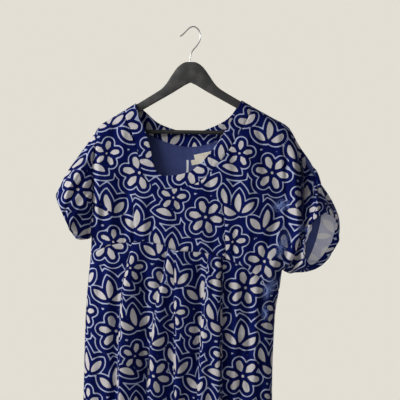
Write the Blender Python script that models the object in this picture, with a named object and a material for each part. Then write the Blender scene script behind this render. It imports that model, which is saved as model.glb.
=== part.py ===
"""A velvet dress with short sleeves, a scoop neck, a high waist seam and a pleated skirt, on a coat hanger.

Metres, +Z up. The origin is the inside top of the hanger's hook. X runs to the right as the front is seen,
and the front faces -Y. Each cloth piece is a thin wall on a grid of points: its outer face comes from the
garment's outline and depth, and its inner face is the same grid moved in by the thickness of the cloth.
"""

import math
from collections import namedtuple

import bpy
import numpy as np

Point = namedtuple("Point", "x z")
Spot = namedtuple("Spot", "x y z")
Depth = namedtuple("Depth", "z front back")
Ridge = namedtuple("Ridge", "top_x top_z low_x low_z width rise")
Lip = namedtuple(
    "Lip", "seam_x upper_x middle_x hem_x seam_rise upper_rise middle_rise hem_rise faces tail"
)
Ring = namedtuple("Ring", "along top low front back")
Finish = namedtuple("Finish", "colour roughness metallic")

# Cloth and seams
VELVET = 0.0014
BAND_CLOTH = 0.0022
LINING_CLOTH = 0.0010
RIBBON_CLOTH = 0.0010
GAP = 0.0003
HALF_GAP = GAP / 2

# Where the cloth turns from front to back it is round, over these distances and in so many steps
TOP_ROLL = 0.024
SIDE_ROLL = 0.034
ROLL_COUNT = 4

# Outline from the front: shoulders run on into the tops of the sleeves
LEFT_TOP = (
    Point(-0.1328, -0.1745),
    Point(-0.1598, -0.1915),
    Point(-0.1870, -0.2078),
    Point(-0.2155, -0.2268),
    Point(-0.2347, -0.2553),
    Point(-0.2627, -0.2949),
    Point(-0.2931, -0.3394),
    Point(-0.3150, -0.3830),
)
RIGHT_TOP = (
    Point(0.1110, -0.1678),
    Point(0.1430, -0.1865),
    Point(0.1785, -0.2062),
    Point(0.2187, -0.2306),
    Point(0.2423, -0.2732),
    Point(0.2796, -0.3403),
    Point(0.3119, -0.3950),
    Point(0.3275, -0.4380),
)
SHOULDER_POINTS = 4
LEFT_SIDE = (
    Point(-0.2335, -0.4800),
    Point(-0.2352, -0.5182),
    Point(-0.2466, -0.6588),
    Point(-0.2519, -0.8535),
    Point(-0.2600, -1.1050),
)
RIGHT_SIDE = (
    Point(0.2027, -0.5558),
    Point(0.1958, -0.6020),
    Point(0.1859, -0.6703),
    Point(0.1800, -0.8535),
    Point(0.1880, -1.1450),
)
LEFT_ARMHOLE = (
    Point(-0.2155, -0.2268),
    Point(-0.2210, -0.2740),
    Point(-0.2285, -0.3200),
    Point(-0.2265, -0.3886),
    Point(-0.2335, -0.4800),
)
RIGHT_ARMHOLE = (
    Point(0.2187, -0.2306),
    Point(0.2350, -0.2800),
    Point(0.2465, -0.3350),
    Point(0.2490, -0.4000),
    Point(0.2470, -0.4527),
    Point(0.2279, -0.5214),
    Point(0.2027, -0.5558),
)

# Edges of the neck and the high waist seam, from left to right
FRONT_NECK = (
    Point(-0.1328, -0.1745),
    Point(-0.1255, -0.2010),
    Point(-0.1099, -0.2393),
    Point(-0.0978, -0.2805),
    Point(-0.0900, -0.3180),
    Point(-0.0758, -0.3390),
    Point(-0.0450, -0.3410),
    Point(-0.0100, -0.3330),
    Point(0.0120, -0.3180),
    Point(0.0435, -0.2833),
    Point(0.0698, -0.2440),
    Point(0.0923, -0.2070),
    Point(0.1110, -0.1678),
)
BACK_NECK = (
    Point(-0.1328, -0.1745),
    Point(-0.1104, -0.1940),
    Point(-0.0820, -0.2185),
    Point(-0.0400, -0.2350),
    Point(-0.0080, -0.2402),
    Point(0.0298, -0.2335),
    Point(0.0797, -0.2085),
    Point(0.1110, -0.1678),
)
FRONT_BAND = 0.0290
BACK_BAND = 0.0330
WAIST_SEAM = (
    Point(-0.2352, -0.5182),
    Point(-0.1889, -0.4985),
    Point(-0.1340, -0.4901),
    Point(-0.0813, -0.4935),
    Point(-0.0378, -0.5095),
    Point(0.0286, -0.5153),
    Point(0.0845, -0.5322),
    Point(0.1278, -0.5556),
    Point(0.1617, -0.5787),
    Point(0.1958, -0.6020),
)
HEM = (
    Point(-0.2600, -1.1050),
    Point(-0.1500, -1.1180),
    Point(-0.0200, -1.1270),
    Point(0.1000, -1.1360),
    Point(0.1880, -1.1450),
)

# How far the cloth stands before and behind the hanger's middle plane
DEPTHS = (
    Depth(-0.17, 0.026, 0.019),
    Depth(-0.30, 0.031, 0.021),
    Depth(-0.50, 0.034, 0.024),
    Depth(-0.80, 0.036, 0.026),
    Depth(-1.15, 0.042, 0.029),
)
# Bust darts sink a little and end at the waist seam
DART_DEPTH = 0.0022
DART_WIDTH = 0.0100
DARTS = (
    Ridge(-0.1362, -0.3860, -0.1345, -0.4901, DART_WIDTH, -DART_DEPTH),
    Ridge(0.0665, -0.3730, 0.0735, -0.5290, DART_WIDTH, -DART_DEPTH),
)
# A ridge or trough fades in over this share of its height
RIDGE_FADE = 0.35
FRONT_RIDGES = (
    Ridge(0.2280, -0.2700, 0.2380, -0.4700, 0.0150, 0.0150),
    Ridge(0.1650, -0.2500, 0.2100, -0.4700, 0.0220, -0.0060),
    Ridge(0.1050, -0.3600, 0.1750, -0.5400, 0.0200, 0.0050),
    Ridge(-0.1950, -0.2600, -0.2000, -0.4500, 0.0200, 0.0050),
    Ridge(-0.1500, -0.3000, -0.1650, -0.4600, 0.0200, -0.0040),
)
BACK_RIDGES = (
    Ridge(-0.1500, -0.2700, -0.1700, -0.4700, 0.0260, -0.0040),
    Ridge(0.1300, -0.2700, 0.1600, -0.5200, 0.0260, -0.0040),
)

# Pleats of the skirt: a lip faces one way, stands up steeply at its line and dies away over its tail
PLEAT_HEIGHTS = (0.0, 0.16, 0.40, 1.0)
FRONT_PLEATS = (
    Lip(-0.1345, -0.1560, -0.1660, -0.1710, 0.0040, 0.0075, 0.0100, 0.0130, -1, 0.052),
    Lip(-0.0530, -0.0700, -0.0960, -0.1060, 0.0030, 0.0060, 0.0100, 0.0120, -1, 0.045),
    Lip(-0.0375, -0.0395, -0.0400, -0.0420, 0.0045, 0.0070, 0.0080, 0.0100, -1, 0.050),
    Lip(0.0385, 0.0270, 0.0172, -0.0040, 0.0035, 0.0060, 0.0080, 0.0110, -1, 0.040),
    Lip(0.0620, 0.0610, 0.0600, 0.0640, 0.0045, 0.0070, 0.0085, 0.0110, 1, 0.040),
)
BACK_PLEATS = (
    Lip(-0.1250, -0.1320, -0.1400, -0.1500, 0.0035, 0.0050, 0.0060, 0.0080, -1, 0.045),
    Lip(-0.0500, -0.0560, -0.0620, -0.0700, 0.0035, 0.0055, 0.0070, 0.0090, -1, 0.045),
    Lip(0.0150, 0.0200, 0.0260, 0.0340, 0.0035, 0.0055, 0.0070, 0.0090, 1, 0.045),
    Lip(0.0850, 0.0900, 0.0960, 0.1060, 0.0035, 0.0050, 0.0060, 0.0080, 1, 0.045),
)
# Half the width of a lip, and how far its edge leans out to stand steep, short of folding over
LIP_HALF_WIDTH = 0.0060
LIP_LEAN = 0.0017
LIP_STEPS = (-1.0, -0.5, -0.15, 0.15, 0.5, 1.0)
SKIRT_ROWS = (0.0, 0.03, 0.09, 0.17, 0.28, 0.40, 0.55, 0.70, 0.85, 1.0)
# Plain columns before each lip and after the last
FRONT_FILLS = (2, 2, 0, 2, 1, 3)
BACK_FILLS = (2, 1, 1, 1, 2)

# Rings of the sleeves past the armhole, to the hem
LEFT_RINGS = (
    Ring(0.25, Spot(-0.2425, -0.001, -0.2664), Spot(-0.2362, -0.003, -0.4825),
         Spot(-0.2400, -0.036, -0.3720), Spot(-0.2390, 0.027, -0.3720)),
    Ring(0.50, Spot(-0.2665, -0.003, -0.3005), Spot(-0.2405, -0.005, -0.4845),
         Spot(-0.2610, -0.046, -0.3980), Spot(-0.2600, 0.030, -0.3960)),
    Ring(0.76, Spot(-0.2915, -0.006, -0.3370), Spot(-0.2465, -0.008, -0.4855),
         Spot(-0.2790, -0.054, -0.4220), Spot(-0.2790, 0.031, -0.4150)),
    Ring(1.00, Spot(-0.3150, -0.008, -0.3830), Spot(-0.2530, -0.010, -0.4840),
         Spot(-0.2870, -0.058, -0.4460), Spot(-0.2890, 0.030, -0.4330)),
)
RIGHT_RINGS = (
    Ring(0.20, Spot(0.2500, 0.000, -0.2870), Spot(0.2150, -0.004, -0.5615),
         Spot(0.2600, -0.026, -0.4030), Spot(0.2585, 0.024, -0.4260)),
    Ring(0.48, Spot(0.2796, -0.004, -0.3403), Spot(0.2270, -0.008, -0.5640),
         Spot(0.2680, -0.048, -0.4240), Spot(0.2840, 0.027, -0.4500)),
    Ring(0.76, Spot(0.3085, -0.014, -0.3893), Spot(0.2410, -0.016, -0.5615),
         Spot(0.2640, -0.067, -0.4420), Spot(0.3120, 0.024, -0.4820)),
    Ring(1.00, Spot(0.3275, -0.026, -0.4380), Spot(0.2550, -0.026, -0.5515),
         Spot(0.2545, -0.074, -0.4560), Spot(0.3300, 0.012, -0.5100)),
)
SLEEVE_ROWS = 7
SLEEVE_LINING_ROWS = 5
# The back's lining shows over so many rows, and leaves so many columns bare at each side
LINING_ROWS = 10
LINING_INSET = 8

# Label and ribbon inside the back
LABEL_LENGTH = 0.055
LABEL_HEIGHT = 0.022
LABEL_MIDDLE = Point(0.0299, -0.2970)
LABEL_TILT = math.radians(12)
LABEL_CLEARANCE = 0.0001
TAB_LENGTH = 0.009
TAB_HEIGHT = 0.011
RIBBON_WIDTH = 0.0050
RIBBON_TOP = Point(-0.0140, -0.3030)
RIBBON_LENGTH = 0.0700
# Sections round the ribbon's top, as shares of a quarter turn, and down its length
RIBBON_TURNS = (0.15, 0.43, 0.72, 1.0)
RIBBON_STEPS = 4

# Hanger: the top edge of one arm from the middle out, as reach and height, and the thickness of its board
HANGER_MIDDLE = -0.0073
HANGER_TILT = math.radians(0.4)
HANGER_BOARD = 0.0120
# Its corners are round, up to this radius and this share of half its height
HANGER_ROUND = 0.0035
HANGER_ROUND_SHARE = 0.6
ARM_TOP = (
    Point(0.0000, -0.0795),
    Point(0.0110, -0.0802),
    Point(0.0200, -0.0842),
    Point(0.0307, -0.0935),
    Point(0.0430, -0.1105),
    Point(0.0536, -0.1268),
    Point(0.0648, -0.1395),
    Point(0.0806, -0.1503),
    Point(0.1147, -0.1708),
    Point(0.2000, -0.2216),
)
ARM_TIP_ROUND = (Point(0.2060, -0.2262), Point(0.2090, -0.2315), Point(0.2100, -0.2370))
# The low edge, from the middle to the tip, steps down to the lug that holds the bar
ARM_LOW = (
    Point(0.0000, -0.1265),
    Point(0.0120, -0.1320),
    Point(0.0400, -0.1492),
    Point(0.1147, -0.1912),
    Point(0.1830, -0.2300),
    Point(0.1836, -0.2495),
    Point(0.1880, -0.2520),
    Point(0.2040, -0.2510),
    Point(0.2090, -0.2470),
    Point(0.2100, -0.2430),
)
ARM_SECTIONS = (
    0.0, 0.0110, 0.0200, 0.0307, 0.0430, 0.0536, 0.0648, 0.0806, 0.1147, 0.1500,
    0.1830, 0.1836, 0.1880, 0.2000, 0.2060, 0.2090, 0.2100,
)
BAR_RADIUS = 0.0045
BAR_LEFT = Spot(-0.1893, 0.0, -0.2375)
BAR_RIGHT = Spot(0.1767, 0.0, -0.2428)
HOOK_WIRE = 0.0015
HOOK_ROUTE = (
    Point(-0.0073, -0.0792),
    Point(-0.0070, -0.0680),
    Point(-0.0030, -0.0550),
    Point(0.0071, -0.0428),
    Point(0.0142, -0.0305),
    Point(0.0158, -0.0181),
    Point(0.0124, -0.0073),
    Point(0.0066, -0.0012),
    Point(0.0000, 0.0015),
    Point(-0.0087, -0.0012),
    Point(-0.0174, -0.0094),
    Point(-0.0245, -0.0165),
    Point(-0.0305, -0.0208),
)

FINISHES = {
    "velvet": Finish((0.006, 0.009, 0.070), 0.85, 0.0),
    "lining": Finish((0.027, 0.034, 0.110), 0.60, 0.0),
    "label": Finish((0.72, 0.66, 0.42), 0.70, 0.0),
    "ribbon": Finish((0.85, 0.86, 0.86), 0.45, 0.0),
    "hanger": Finish((0.025, 0.024, 0.023), 0.45, 0.0),
    "steel": Finish((0.62, 0.62, 0.60), 0.25, 1.0),
}


def clear_scene():
    for old in list(bpy.data.objects):
        bpy.data.objects.remove(old, do_unlink=True)


def finish(name):
    """The material of that name, made on first use."""
    found = bpy.data.materials.get(name)
    if found:
        return found
    made = bpy.data.materials.new(name)
    made.use_nodes = True
    shader = made.node_tree.nodes["Principled BSDF"]
    look = FINISHES[name]
    shader.inputs["Base Color"].default_value = (*look.colour, 1.0)
    shader.inputs["Roughness"].default_value = look.roughness
    shader.inputs["Metallic"].default_value = look.metallic
    return made


def add_mesh(name, points, faces, material):
    mesh = bpy.data.meshes.new(name)
    mesh.from_pydata([tuple(p) for p in points], [], [tuple(f) for f in faces])
    mesh.materials.append(finish(material))
    mesh.shade_smooth()
    mesh.set_sharp_from_angle(angle=math.radians(40))
    made = bpy.data.objects.new(name, mesh)
    bpy.context.scene.collection.objects.link(made)
    return made


# Curves
def smooth_curve(points, steps=16):
    """Close points on a smooth curve through the given ones."""
    p = np.array(points, float)
    p = np.vstack([2 * p[0] - p[1], p, 2 * p[-1] - p[-2]])
    t = np.linspace(0, 1, steps, endpoint=False)[:, None]
    spans = []
    for a, b, c, d in zip(p, p[1:], p[2:], p[3:]):
        bend = (2 * a - 5 * b + 4 * c - d) * t**2 + (3 * b - a - 3 * c + d) * t**3
        spans.append(b + 0.5 * ((c - a) * t + bend))
    return np.vstack([*spans, p[-2]])


def lengths(curve):
    return np.concatenate([[0], np.cumsum(np.linalg.norm(np.diff(curve, axis=0), axis=1))])


def at_lengths(curve, wanted):
    """Points at these lengths along a curve."""
    run = lengths(curve)
    return np.stack([np.interp(wanted, run, curve[:, axis]) for axis in range(curve.shape[1])], -1)


def curve_value(x, curve):
    """Height of a left-to-right curve at x."""
    return np.interp(x, curve[:, 0], curve[:, 1])


def eased(x, knots, values):
    """A smooth value through a table."""
    knots = np.array(knots, float)
    values = np.array(values, float)
    slopes = np.gradient(values, knots, axis=0)
    x = np.clip(x, knots[0], knots[-1])
    i = np.clip(np.searchsorted(knots, x) - 1, 0, len(knots) - 2)
    width = knots[i + 1] - knots[i]
    t = (x - knots[i]) / width
    start = (1 + 2 * t) * (1 - t) ** 2 * values[i] + t * (1 - t) ** 2 * width * slopes[i]
    end = t**2 * (3 - 2 * t) * values[i + 1] - t**2 * (1 - t) * width * slopes[i + 1]
    return start + end


def roll_steps(radius):
    """Distances from an edge that are even steps round a quarter turn of that radius."""
    return radius * (1 - np.cos(np.linspace(0, math.pi / 2, ROLL_COUNT + 1)[1:]))


def spaced(length, start_steps, end_steps, middle):
    """Lengths along a line: close steps at each end and even ones between."""
    ends = length - np.array(end_steps)[::-1]
    between = np.linspace(start_steps[-1], ends[0], middle + 1)[1:-1]
    return np.concatenate([[0], start_steps, between, ends, [length]])


# Form of the garment
def distance(x, z, line):
    """Distance of points from a line through many points, seen from the front."""
    start = line[:-1]
    step = np.diff(line, axis=0)
    away = np.stack([x, z], -1)[..., None, :] - start
    along = np.clip((away * step).sum(-1) / (step**2).sum(-1), 0, 1)
    return np.linalg.norm(away - along[..., None] * step, axis=-1).min(-1)


TOP_LINES = [smooth_curve(LEFT_TOP), smooth_curve(RIGHT_TOP)]
SIDE_LINES = [smooth_curve(LEFT_SIDE), smooth_curve(RIGHT_SIDE)]


def quarter_round(share):
    return np.sqrt(1 - (1 - np.clip(share, 0, 1)) ** 2)


def edge_round(x, z):
    """0 on the outline of the body, rising on a round to 1 inside it."""
    top = np.minimum(*[distance(x, z, line) for line in TOP_LINES])
    side = np.minimum(*[distance(x, z, line) for line in SIDE_LINES])
    return quarter_round(top / TOP_ROLL) * quarter_round(side / SIDE_ROLL)


def ridge_rise(x, z, ridge):
    """A soft ridge or trough that runs from one point to another and fades at its upper end."""
    line = np.array([[ridge.top_x, ridge.top_z], [ridge.low_x, ridge.low_z]])
    across = distance(x, z, line) / ridge.width
    fade = np.clip((ridge.top_z - z) / (ridge.top_z - ridge.low_z) / RIDGE_FADE, 0, 1)
    return ridge.rise * np.exp(-(across**2)) * fade * fade * (3 - 2 * fade)


def body_depth(x, z, facing, ridges):
    """How far the front (facing -1) or the back (facing 1) stands out from the middle plane."""
    column = "front" if facing < 0 else "back"
    full = eased(z, [d.z for d in DEPTHS][::-1], [getattr(d, column) for d in DEPTHS][::-1])
    for ridge in ridges:
        full = full + ridge_rise(x, z, ridge)
    return full * edge_round(x, z) + HALF_GAP


# Walls
def grid_normals(grid, closed=False):
    """Unit normals of a grid of points, rows by columns."""
    down = np.gradient(grid, axis=0)
    if closed:
        across = (np.roll(grid, -1, axis=1) - np.roll(grid, 1, axis=1)) / 2
    else:
        across = np.gradient(grid, axis=1)
    normals = np.cross(down, across)
    return normals / np.linalg.norm(normals, axis=-1, keepdims=True)


def squared(normals, directions):
    """The normals without what they have along these directions, so that a seam's edge is square."""
    directions = np.asarray(directions, float)
    kept = normals - (normals * directions).sum(-1, keepdims=True) * directions
    return kept / np.linalg.norm(kept, axis=-1, keepdims=True)


def moved_in(outer, normals, start, thick):
    """Outer and inner faces of a wall that begins this far inside the outer points."""
    return outer - normals * start, outer - normals * (start + thick)


def wall(name, outer, inner, material, closed=False):
    """A closed solid between two grids, rows by columns, whose outward side is on the first."""
    rows, columns = outer.shape[:2]
    number = np.arange(rows * columns).reshape(rows, columns)
    behind = number + rows * columns
    if closed:
        number = np.hstack([number, number[:, :1]])
        behind = np.hstack([behind, behind[:, :1]])
    faces = []

    def add(a, b, c, d):
        faces.append((a, b, c))
        faces.append((a, c, d))

    for r in range(rows - 1):
        for c in range(number.shape[1] - 1):
            add(number[r, c], number[r + 1, c], number[r + 1, c + 1], number[r, c + 1])
            add(behind[r, c], behind[r, c + 1], behind[r + 1, c + 1], behind[r + 1, c])
    for c in range(number.shape[1] - 1):
        add(number[0, c], number[0, c + 1], behind[0, c + 1], behind[0, c])
        add(number[-1, c], behind[-1, c], behind[-1, c + 1], number[-1, c + 1])
    if not closed:
        for r in range(rows - 1):
            add(number[r, 0], behind[r, 0], behind[r + 1, 0], number[r + 1, 0])
            add(number[r, -1], number[r + 1, -1], behind[r + 1, -1], behind[r, -1])
    points = np.vstack([outer.reshape(-1, 3), inner.reshape(-1, 3)])
    return add_mesh(name, points, faces, material)


# Neckband and bodice
NECK_ROLL_STEPS = roll_steps(TOP_ROLL)
SIDE_ROLL_STEPS = roll_steps(SIDE_ROLL)
# Even steps along the flat of the neck, front and back, of the armhole and of the side
NECK_MIDDLE = {-1: 19, 1: 13}
ARMHOLE_MIDDLE = 6
SIDE_STEPS = 2
# Columns meet the waist seam under their own place, but for this share of evenness
EVEN_COLUMNS = 0.2
# They also stay this far from the garment's sides
SIDE_CLEAR = SIDE_ROLL * 4 / 3
# The band's columns turn along the shoulder over this share of its width
SHOULDER_TURN = 0.8
THROUGH = np.array([0.0, 1.0, 0.0])
UPRIGHT = np.array([0.0, 0.0, 1.0])


def neck_lines(facing):
    """Points of the neck's edge and of the band's seam, and the way from one to the other at each."""
    edge_points, width = (FRONT_NECK, FRONT_BAND) if facing < 0 else (BACK_NECK, BACK_BAND)
    curve = smooth_curve(edge_points)
    run = lengths(curve)[-1]
    at = spaced(run, NECK_ROLL_STEPS, NECK_ROLL_STEPS, NECK_MIDDLE[facing])
    edge = at_lengths(curve, at)
    tangent = np.gradient(edge, axis=0)
    tangent /= np.linalg.norm(tangent, axis=1, keepdims=True)
    out = np.stack([tangent[:, 1], -tangent[:, 0]], -1)
    left = at_lengths(TOP_LINES[0], [width])[0]
    right = at_lengths(TOP_LINES[1], [width])[0]
    for end, target, near in ((0, left, at), (-1, right, run - at)):
        way = (target - edge[end]) / width
        share = np.exp(-near / (SHOULDER_TURN * width))[:, None]
        out = out * (1 - share) + way * share
    out[0] = (left - edge[0]) / width
    out[-1] = (right - edge[-1]) / width
    out /= np.linalg.norm(out, axis=1, keepdims=True)
    seam = edge + out * width
    seam[0] = left
    seam[-1] = right
    return edge, seam, out


def band_grid(facing):
    """Grid of the band: the neck's edge, its middle and its seam."""
    edge, seam, out = neck_lines(facing)
    seam = seam - out * HALF_GAP
    rows = np.stack([edge, (edge + seam) / 2, seam])
    return surface(rows, facing, FRONT_RIDGES if facing < 0 else BACK_RIDGES), out


def surface(flat, facing, ridges):
    """Points of the front or the back at these places seen from the front."""
    depth = body_depth(flat[..., 0], flat[..., 1], facing, ridges)
    return np.stack([flat[..., 0], facing * depth, flat[..., 1]], -1)


def in_plane(way):
    return np.stack([way[:, 0], np.zeros(len(way)), way[:, 1]], -1)


def outward(normals, facing):
    """Front grids come out facing -Y and back grids are turned to face +Y."""
    return normals * np.where((normals[..., 1:2] * facing).sum() < 0, -1, 1)


def seam_under(top):
    """Points of the waist seam under the columns that start at these points of the bodice's top edge."""
    curve = smooth_curve(WAIST_SEAM)
    run = lengths(curve)[-1]
    rolled = len(SIDE_ROLL_STEPS) + 1
    by_place = (top[:, 0] - top[0, 0]) / (top[-1, 0] - top[0, 0])
    by_count = np.linspace(0, 1, len(top))
    at = run * (by_place * (1 - EVEN_COLUMNS) + by_count * EVEN_COLUMNS)
    inside = np.clip(at[rolled:-rolled], SIDE_CLEAR, run - SIDE_CLEAR)
    ends = np.concatenate([[0], SIDE_ROLL_STEPS])
    return at_lengths(curve, np.concatenate([ends, inside, (run - ends)[::-1]]))


def armhole(points):
    curve = smooth_curve(points)
    steps = SIDE_ROLL_STEPS[1:]
    return at_lengths(curve, spaced(lengths(curve)[-1], NECK_ROLL_STEPS, steps, ARMHOLE_MIDDLE))


def towards_sleeve(flat, side):
    """The way across an armhole's seam at each of its points, towards the sleeve."""
    tangent = np.gradient(flat, axis=0)
    tangent /= np.linalg.norm(tangent, axis=1, keepdims=True)
    return in_plane(side * np.stack([-tangent[:, 1], tangent[:, 0]], -1))


def side_part(line, seam_end):
    """Points down the side from the underarm to the waist seam."""
    stop = lengths(line)[np.argmin(abs(line[:, 1] - seam_end[1]))]
    points = at_lengths(line, np.linspace(0, stop, SIDE_STEPS + 1))
    points[-1] = seam_end
    return points[1:]


def shares(line):
    run = lengths(line)
    return run / run[-1]


def patch(top, low, left, right):
    """Points inside four edges: rows run from top to low, columns from left to right."""
    u_top = shares(top)[None, :]
    u_low = shares(low)[None, :]
    v_left = shares(left)[:, None]
    v_right = shares(right)[:, None]
    even = np.linspace(0, 1, len(top))[None, :]
    v = v_left * (1 - even) + v_right * even
    u = u_top * (1 - v) + u_low * v
    u, v = u[..., None], v[..., None]
    corners = (1 - u) * (1 - v) * top[0] + u * (1 - v) * top[-1] + (1 - u) * v * low[0] + u * v * low[-1]
    ruled = (1 - v) * top[None] + v * low[None] + (1 - u) * left[:, None] + u * right[:, None]
    return ruled - corners


def bodice_grid(facing):
    """Grid and normals of the front or back bodice, outside its neckband."""
    _, band_seam, out = neck_lines(facing)
    band_seam = band_seam + out * HALF_GAP
    left_line, right_line = TOP_LINES
    width = FRONT_BAND if facing < 0 else BACK_BAND
    shoulders = []
    for line, points in ((left_line, LEFT_TOP), (right_line, RIGHT_TOP)):
        tip = points[SHOULDER_POINTS - 1]
        run = lengths(line)[np.argmin(np.linalg.norm(line - np.array(tip), axis=1))]
        steps = np.concatenate([[0], SIDE_ROLL_STEPS])
        steps = np.append(steps, (steps[-1] + run - width) / 2)
        shoulders.append(at_lengths(line, run - steps))
    top = np.vstack([shoulders[0], band_seam, shoulders[1][::-1]])
    low = seam_under(top)
    left = np.vstack([armhole(LEFT_ARMHOLE), side_part(SIDE_LINES[0], low[0])])
    right = np.vstack([armhole(RIGHT_ARMHOLE), side_part(SIDE_LINES[1], low[-1])])
    flat = patch(top, low, left, right)
    ridges = (*FRONT_RIDGES, *DARTS) if facing < 0 else BACK_RIDGES
    grid = surface(flat, facing, ridges)
    normals = outward(grid_normals(grid), facing)
    neck = slice(len(shoulders[0]), -len(shoulders[1]))
    normals[0, neck] = squared(normals[0, neck], in_plane(out))
    normals[0, : neck.start] = squared(normals[0, : neck.start], THROUGH)
    normals[0, neck.stop :] = squared(normals[0, neck.stop :], THROUGH)
    for column, points, side in ((0, LEFT_ARMHOLE, -1), (-1, RIGHT_ARMHOLE, 1)):
        way = towards_sleeve(armhole(points), side)
        arm_rows = len(way)
        grid[:arm_rows, column] -= way * HALF_GAP
        normals[:arm_rows, column] = squared(normals[:arm_rows, column], way)
        normals[arm_rows - 1 :, column] = squared(normals[arm_rows - 1 :, column], THROUGH)
    normals[-1] = squared(normals[-1], UPRIGHT)
    grid[-1, :, 2] += HALF_GAP
    return grid, normals


def build_band(name, facing):
    grid, out = band_grid(facing)
    normals = outward(grid_normals(grid), facing)
    normals[:, 0] = squared(normals[:, 0], THROUGH)
    normals[:, -1] = squared(normals[:, -1], THROUGH)
    normals[-1] = squared(normals[-1], in_plane(out))
    outer, inner = moved_in(grid, normals, 0, BAND_CLOTH)
    if facing > 0:
        outer, inner = outer[:, ::-1], inner[:, ::-1]
    wall(name, outer, inner, "velvet")


def build_bodice(name, facing):
    grid, normals = bodice_grid(facing)
    outer, inner = moved_in(grid, normals, 0, VELVET)
    if facing > 0:
        outer, inner = outer[:, ::-1], inner[:, ::-1]
    wall(name, outer, inner, "velvet")


def build_back_lining(name):
    """The lining of the back, under its neckband, where the open neck shows it."""
    grid, normals = bodice_grid(1)
    shown = (slice(0, LINING_ROWS), slice(LINING_INSET, -LINING_INSET))
    outer, inner = moved_in(grid[shown], normals[shown], VELVET + GAP, LINING_CLOTH)
    wall(name, outer[:, ::-1], inner[:, ::-1], "lining")


# Skirt
def lip_line(lip, v):
    return eased(v, PLEAT_HEIGHTS, (lip.seam_x, lip.upper_x, lip.middle_x, lip.hem_x))


def skirt_columns(pleats, fills, left, right, v):
    """Places across the skirt at one height, closer together round the sides and over each lip."""
    x = [left, *(left + SIDE_ROLL_STEPS)]
    for lip, fill in zip(pleats, fills):
        zone = lip_line(lip, v) + LIP_HALF_WIDTH * np.array(LIP_STEPS)
        x.extend(np.linspace(x[-1], zone[0], fill + 2)[1:-1])
        x.extend(zone)
    ends = right - SIDE_ROLL_STEPS[::-1]
    x.extend(np.linspace(x[-1], ends[0], fills[-1] + 2)[1:-1])
    return np.array([*x, *ends, right])


def pleat_shape(x, pleats, v):
    """Sideways lean and rise of the pleats at places x, at the height v."""
    lean = np.zeros(len(x))
    rise = np.zeros(len(x))
    for lip in pleats:
        q = -lip.faces * (x - lip_line(lip, v)) / LIP_HALF_WIDTH
        t = np.clip((q + 1) / 2, 0, 1)
        past = np.clip((q - 1) * LIP_HALF_WIDTH / lip.tail, 0, 1)
        height = eased(v, PLEAT_HEIGHTS, (lip.seam_rise, lip.upper_rise, lip.middle_rise, lip.hem_rise))
        rise += height * t * t * (3 - 2 * t) * (1 + np.cos(math.pi * past)) / 2
        lean += lip.faces * LIP_LEAN * np.sin(math.pi * np.clip(q, -1, 1))
    return lean, rise


def skirt_grid(facing):
    """Grid and normals of the front or back of the skirt, from the waist seam to the hem."""
    pleats, fills = (FRONT_PLEATS, FRONT_FILLS) if facing < 0 else (BACK_PLEATS, BACK_FILLS)
    bodice, _ = bodice_grid(facing)
    seam = bodice[-1][:, [0, 2]] - np.array([0.0, GAP])
    hem = smooth_curve(HEM)
    rows = []
    for v in SKIRT_ROWS:
        ends = []
        for line, column in zip(SIDE_LINES, (0, -1)):
            z = seam[column, 1] * (1 - v) + hem[column, 1] * v
            ends.append(curve_value(-z, line[:, ::-1] * np.array([-1.0, 1.0])))
        if v == 0:
            ends = [seam[0, 0], seam[-1, 0]]
        x = skirt_columns(pleats, fills, *ends, v)
        lean, rise = pleat_shape(x, pleats, v)
        x = x + lean
        z = curve_value(x, seam) * (1 - v) + curve_value(x, hem) * v
        depth = body_depth(x, z, facing, ()) + rise * edge_round(x, z)
        rows.append(np.stack([x, facing * depth, z], -1))
    grid = np.array(rows)
    normals = outward(grid_normals(grid), facing)
    normals[:, 0] = squared(normals[:, 0], THROUGH)
    normals[:, -1] = squared(normals[:, -1], THROUGH)
    normals[0] = squared(normals[0], UPRIGHT)
    return grid, normals


def build_skirt(name, facing):
    grid, normals = skirt_grid(facing)
    outer, inner = moved_in(grid, normals, 0, VELVET)
    if facing > 0:
        outer, inner = outer[:, ::-1], inner[:, ::-1]
    wall(name, outer, inner, "velvet")


# Sleeves
def sleeve_grid(side):
    """Grid and normals of a sleeve: rows from the armhole to the hem, columns round it from its top."""
    points, rings = (LEFT_ARMHOLE, LEFT_RINGS) if side < 0 else (RIGHT_ARMHOLE, RIGHT_RINGS)
    flat = armhole(points)
    step = towards_sleeve(flat, side) * GAP
    column = 0 if side < 0 else -1
    (front, front_normals), (back, back_normals) = (
        (grid[: len(flat), column] + step, normals[: len(flat), column])
        for grid, normals in (bodice_grid(-1), bodice_grid(1))
    )
    front[[0, -1], 1] = 0
    first = np.vstack([front, back[-2:0:-1]])
    turn = np.arccos(1 - 2 * shares(flat))
    turn = np.concatenate([turn, -turn[-2:0:-1]])[:, None]
    shapes = [first]
    for ring in rings:
        top, low, before, behind = (np.array(spot) for spot in ring[1:])
        middle = (top + low) / 2
        out = np.where(turn >= 0, before - middle, middle - behind)
        shapes.append(middle + np.cos(turn) * (top - middle) + np.sin(turn) * out)
    knots = (0.0, *(ring.along for ring in rings))
    grid = np.array([eased(t, knots, shapes) for t in np.linspace(0, 1, SLEEVE_ROWS)])
    normals = grid_normals(grid, closed=True)
    from_middle = grid - grid.mean(axis=1, keepdims=True)
    normals = normals * np.sign((normals * from_middle).sum())
    normals[0] = np.vstack([front_normals, back_normals[-2:0:-1]])
    return grid, normals


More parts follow.
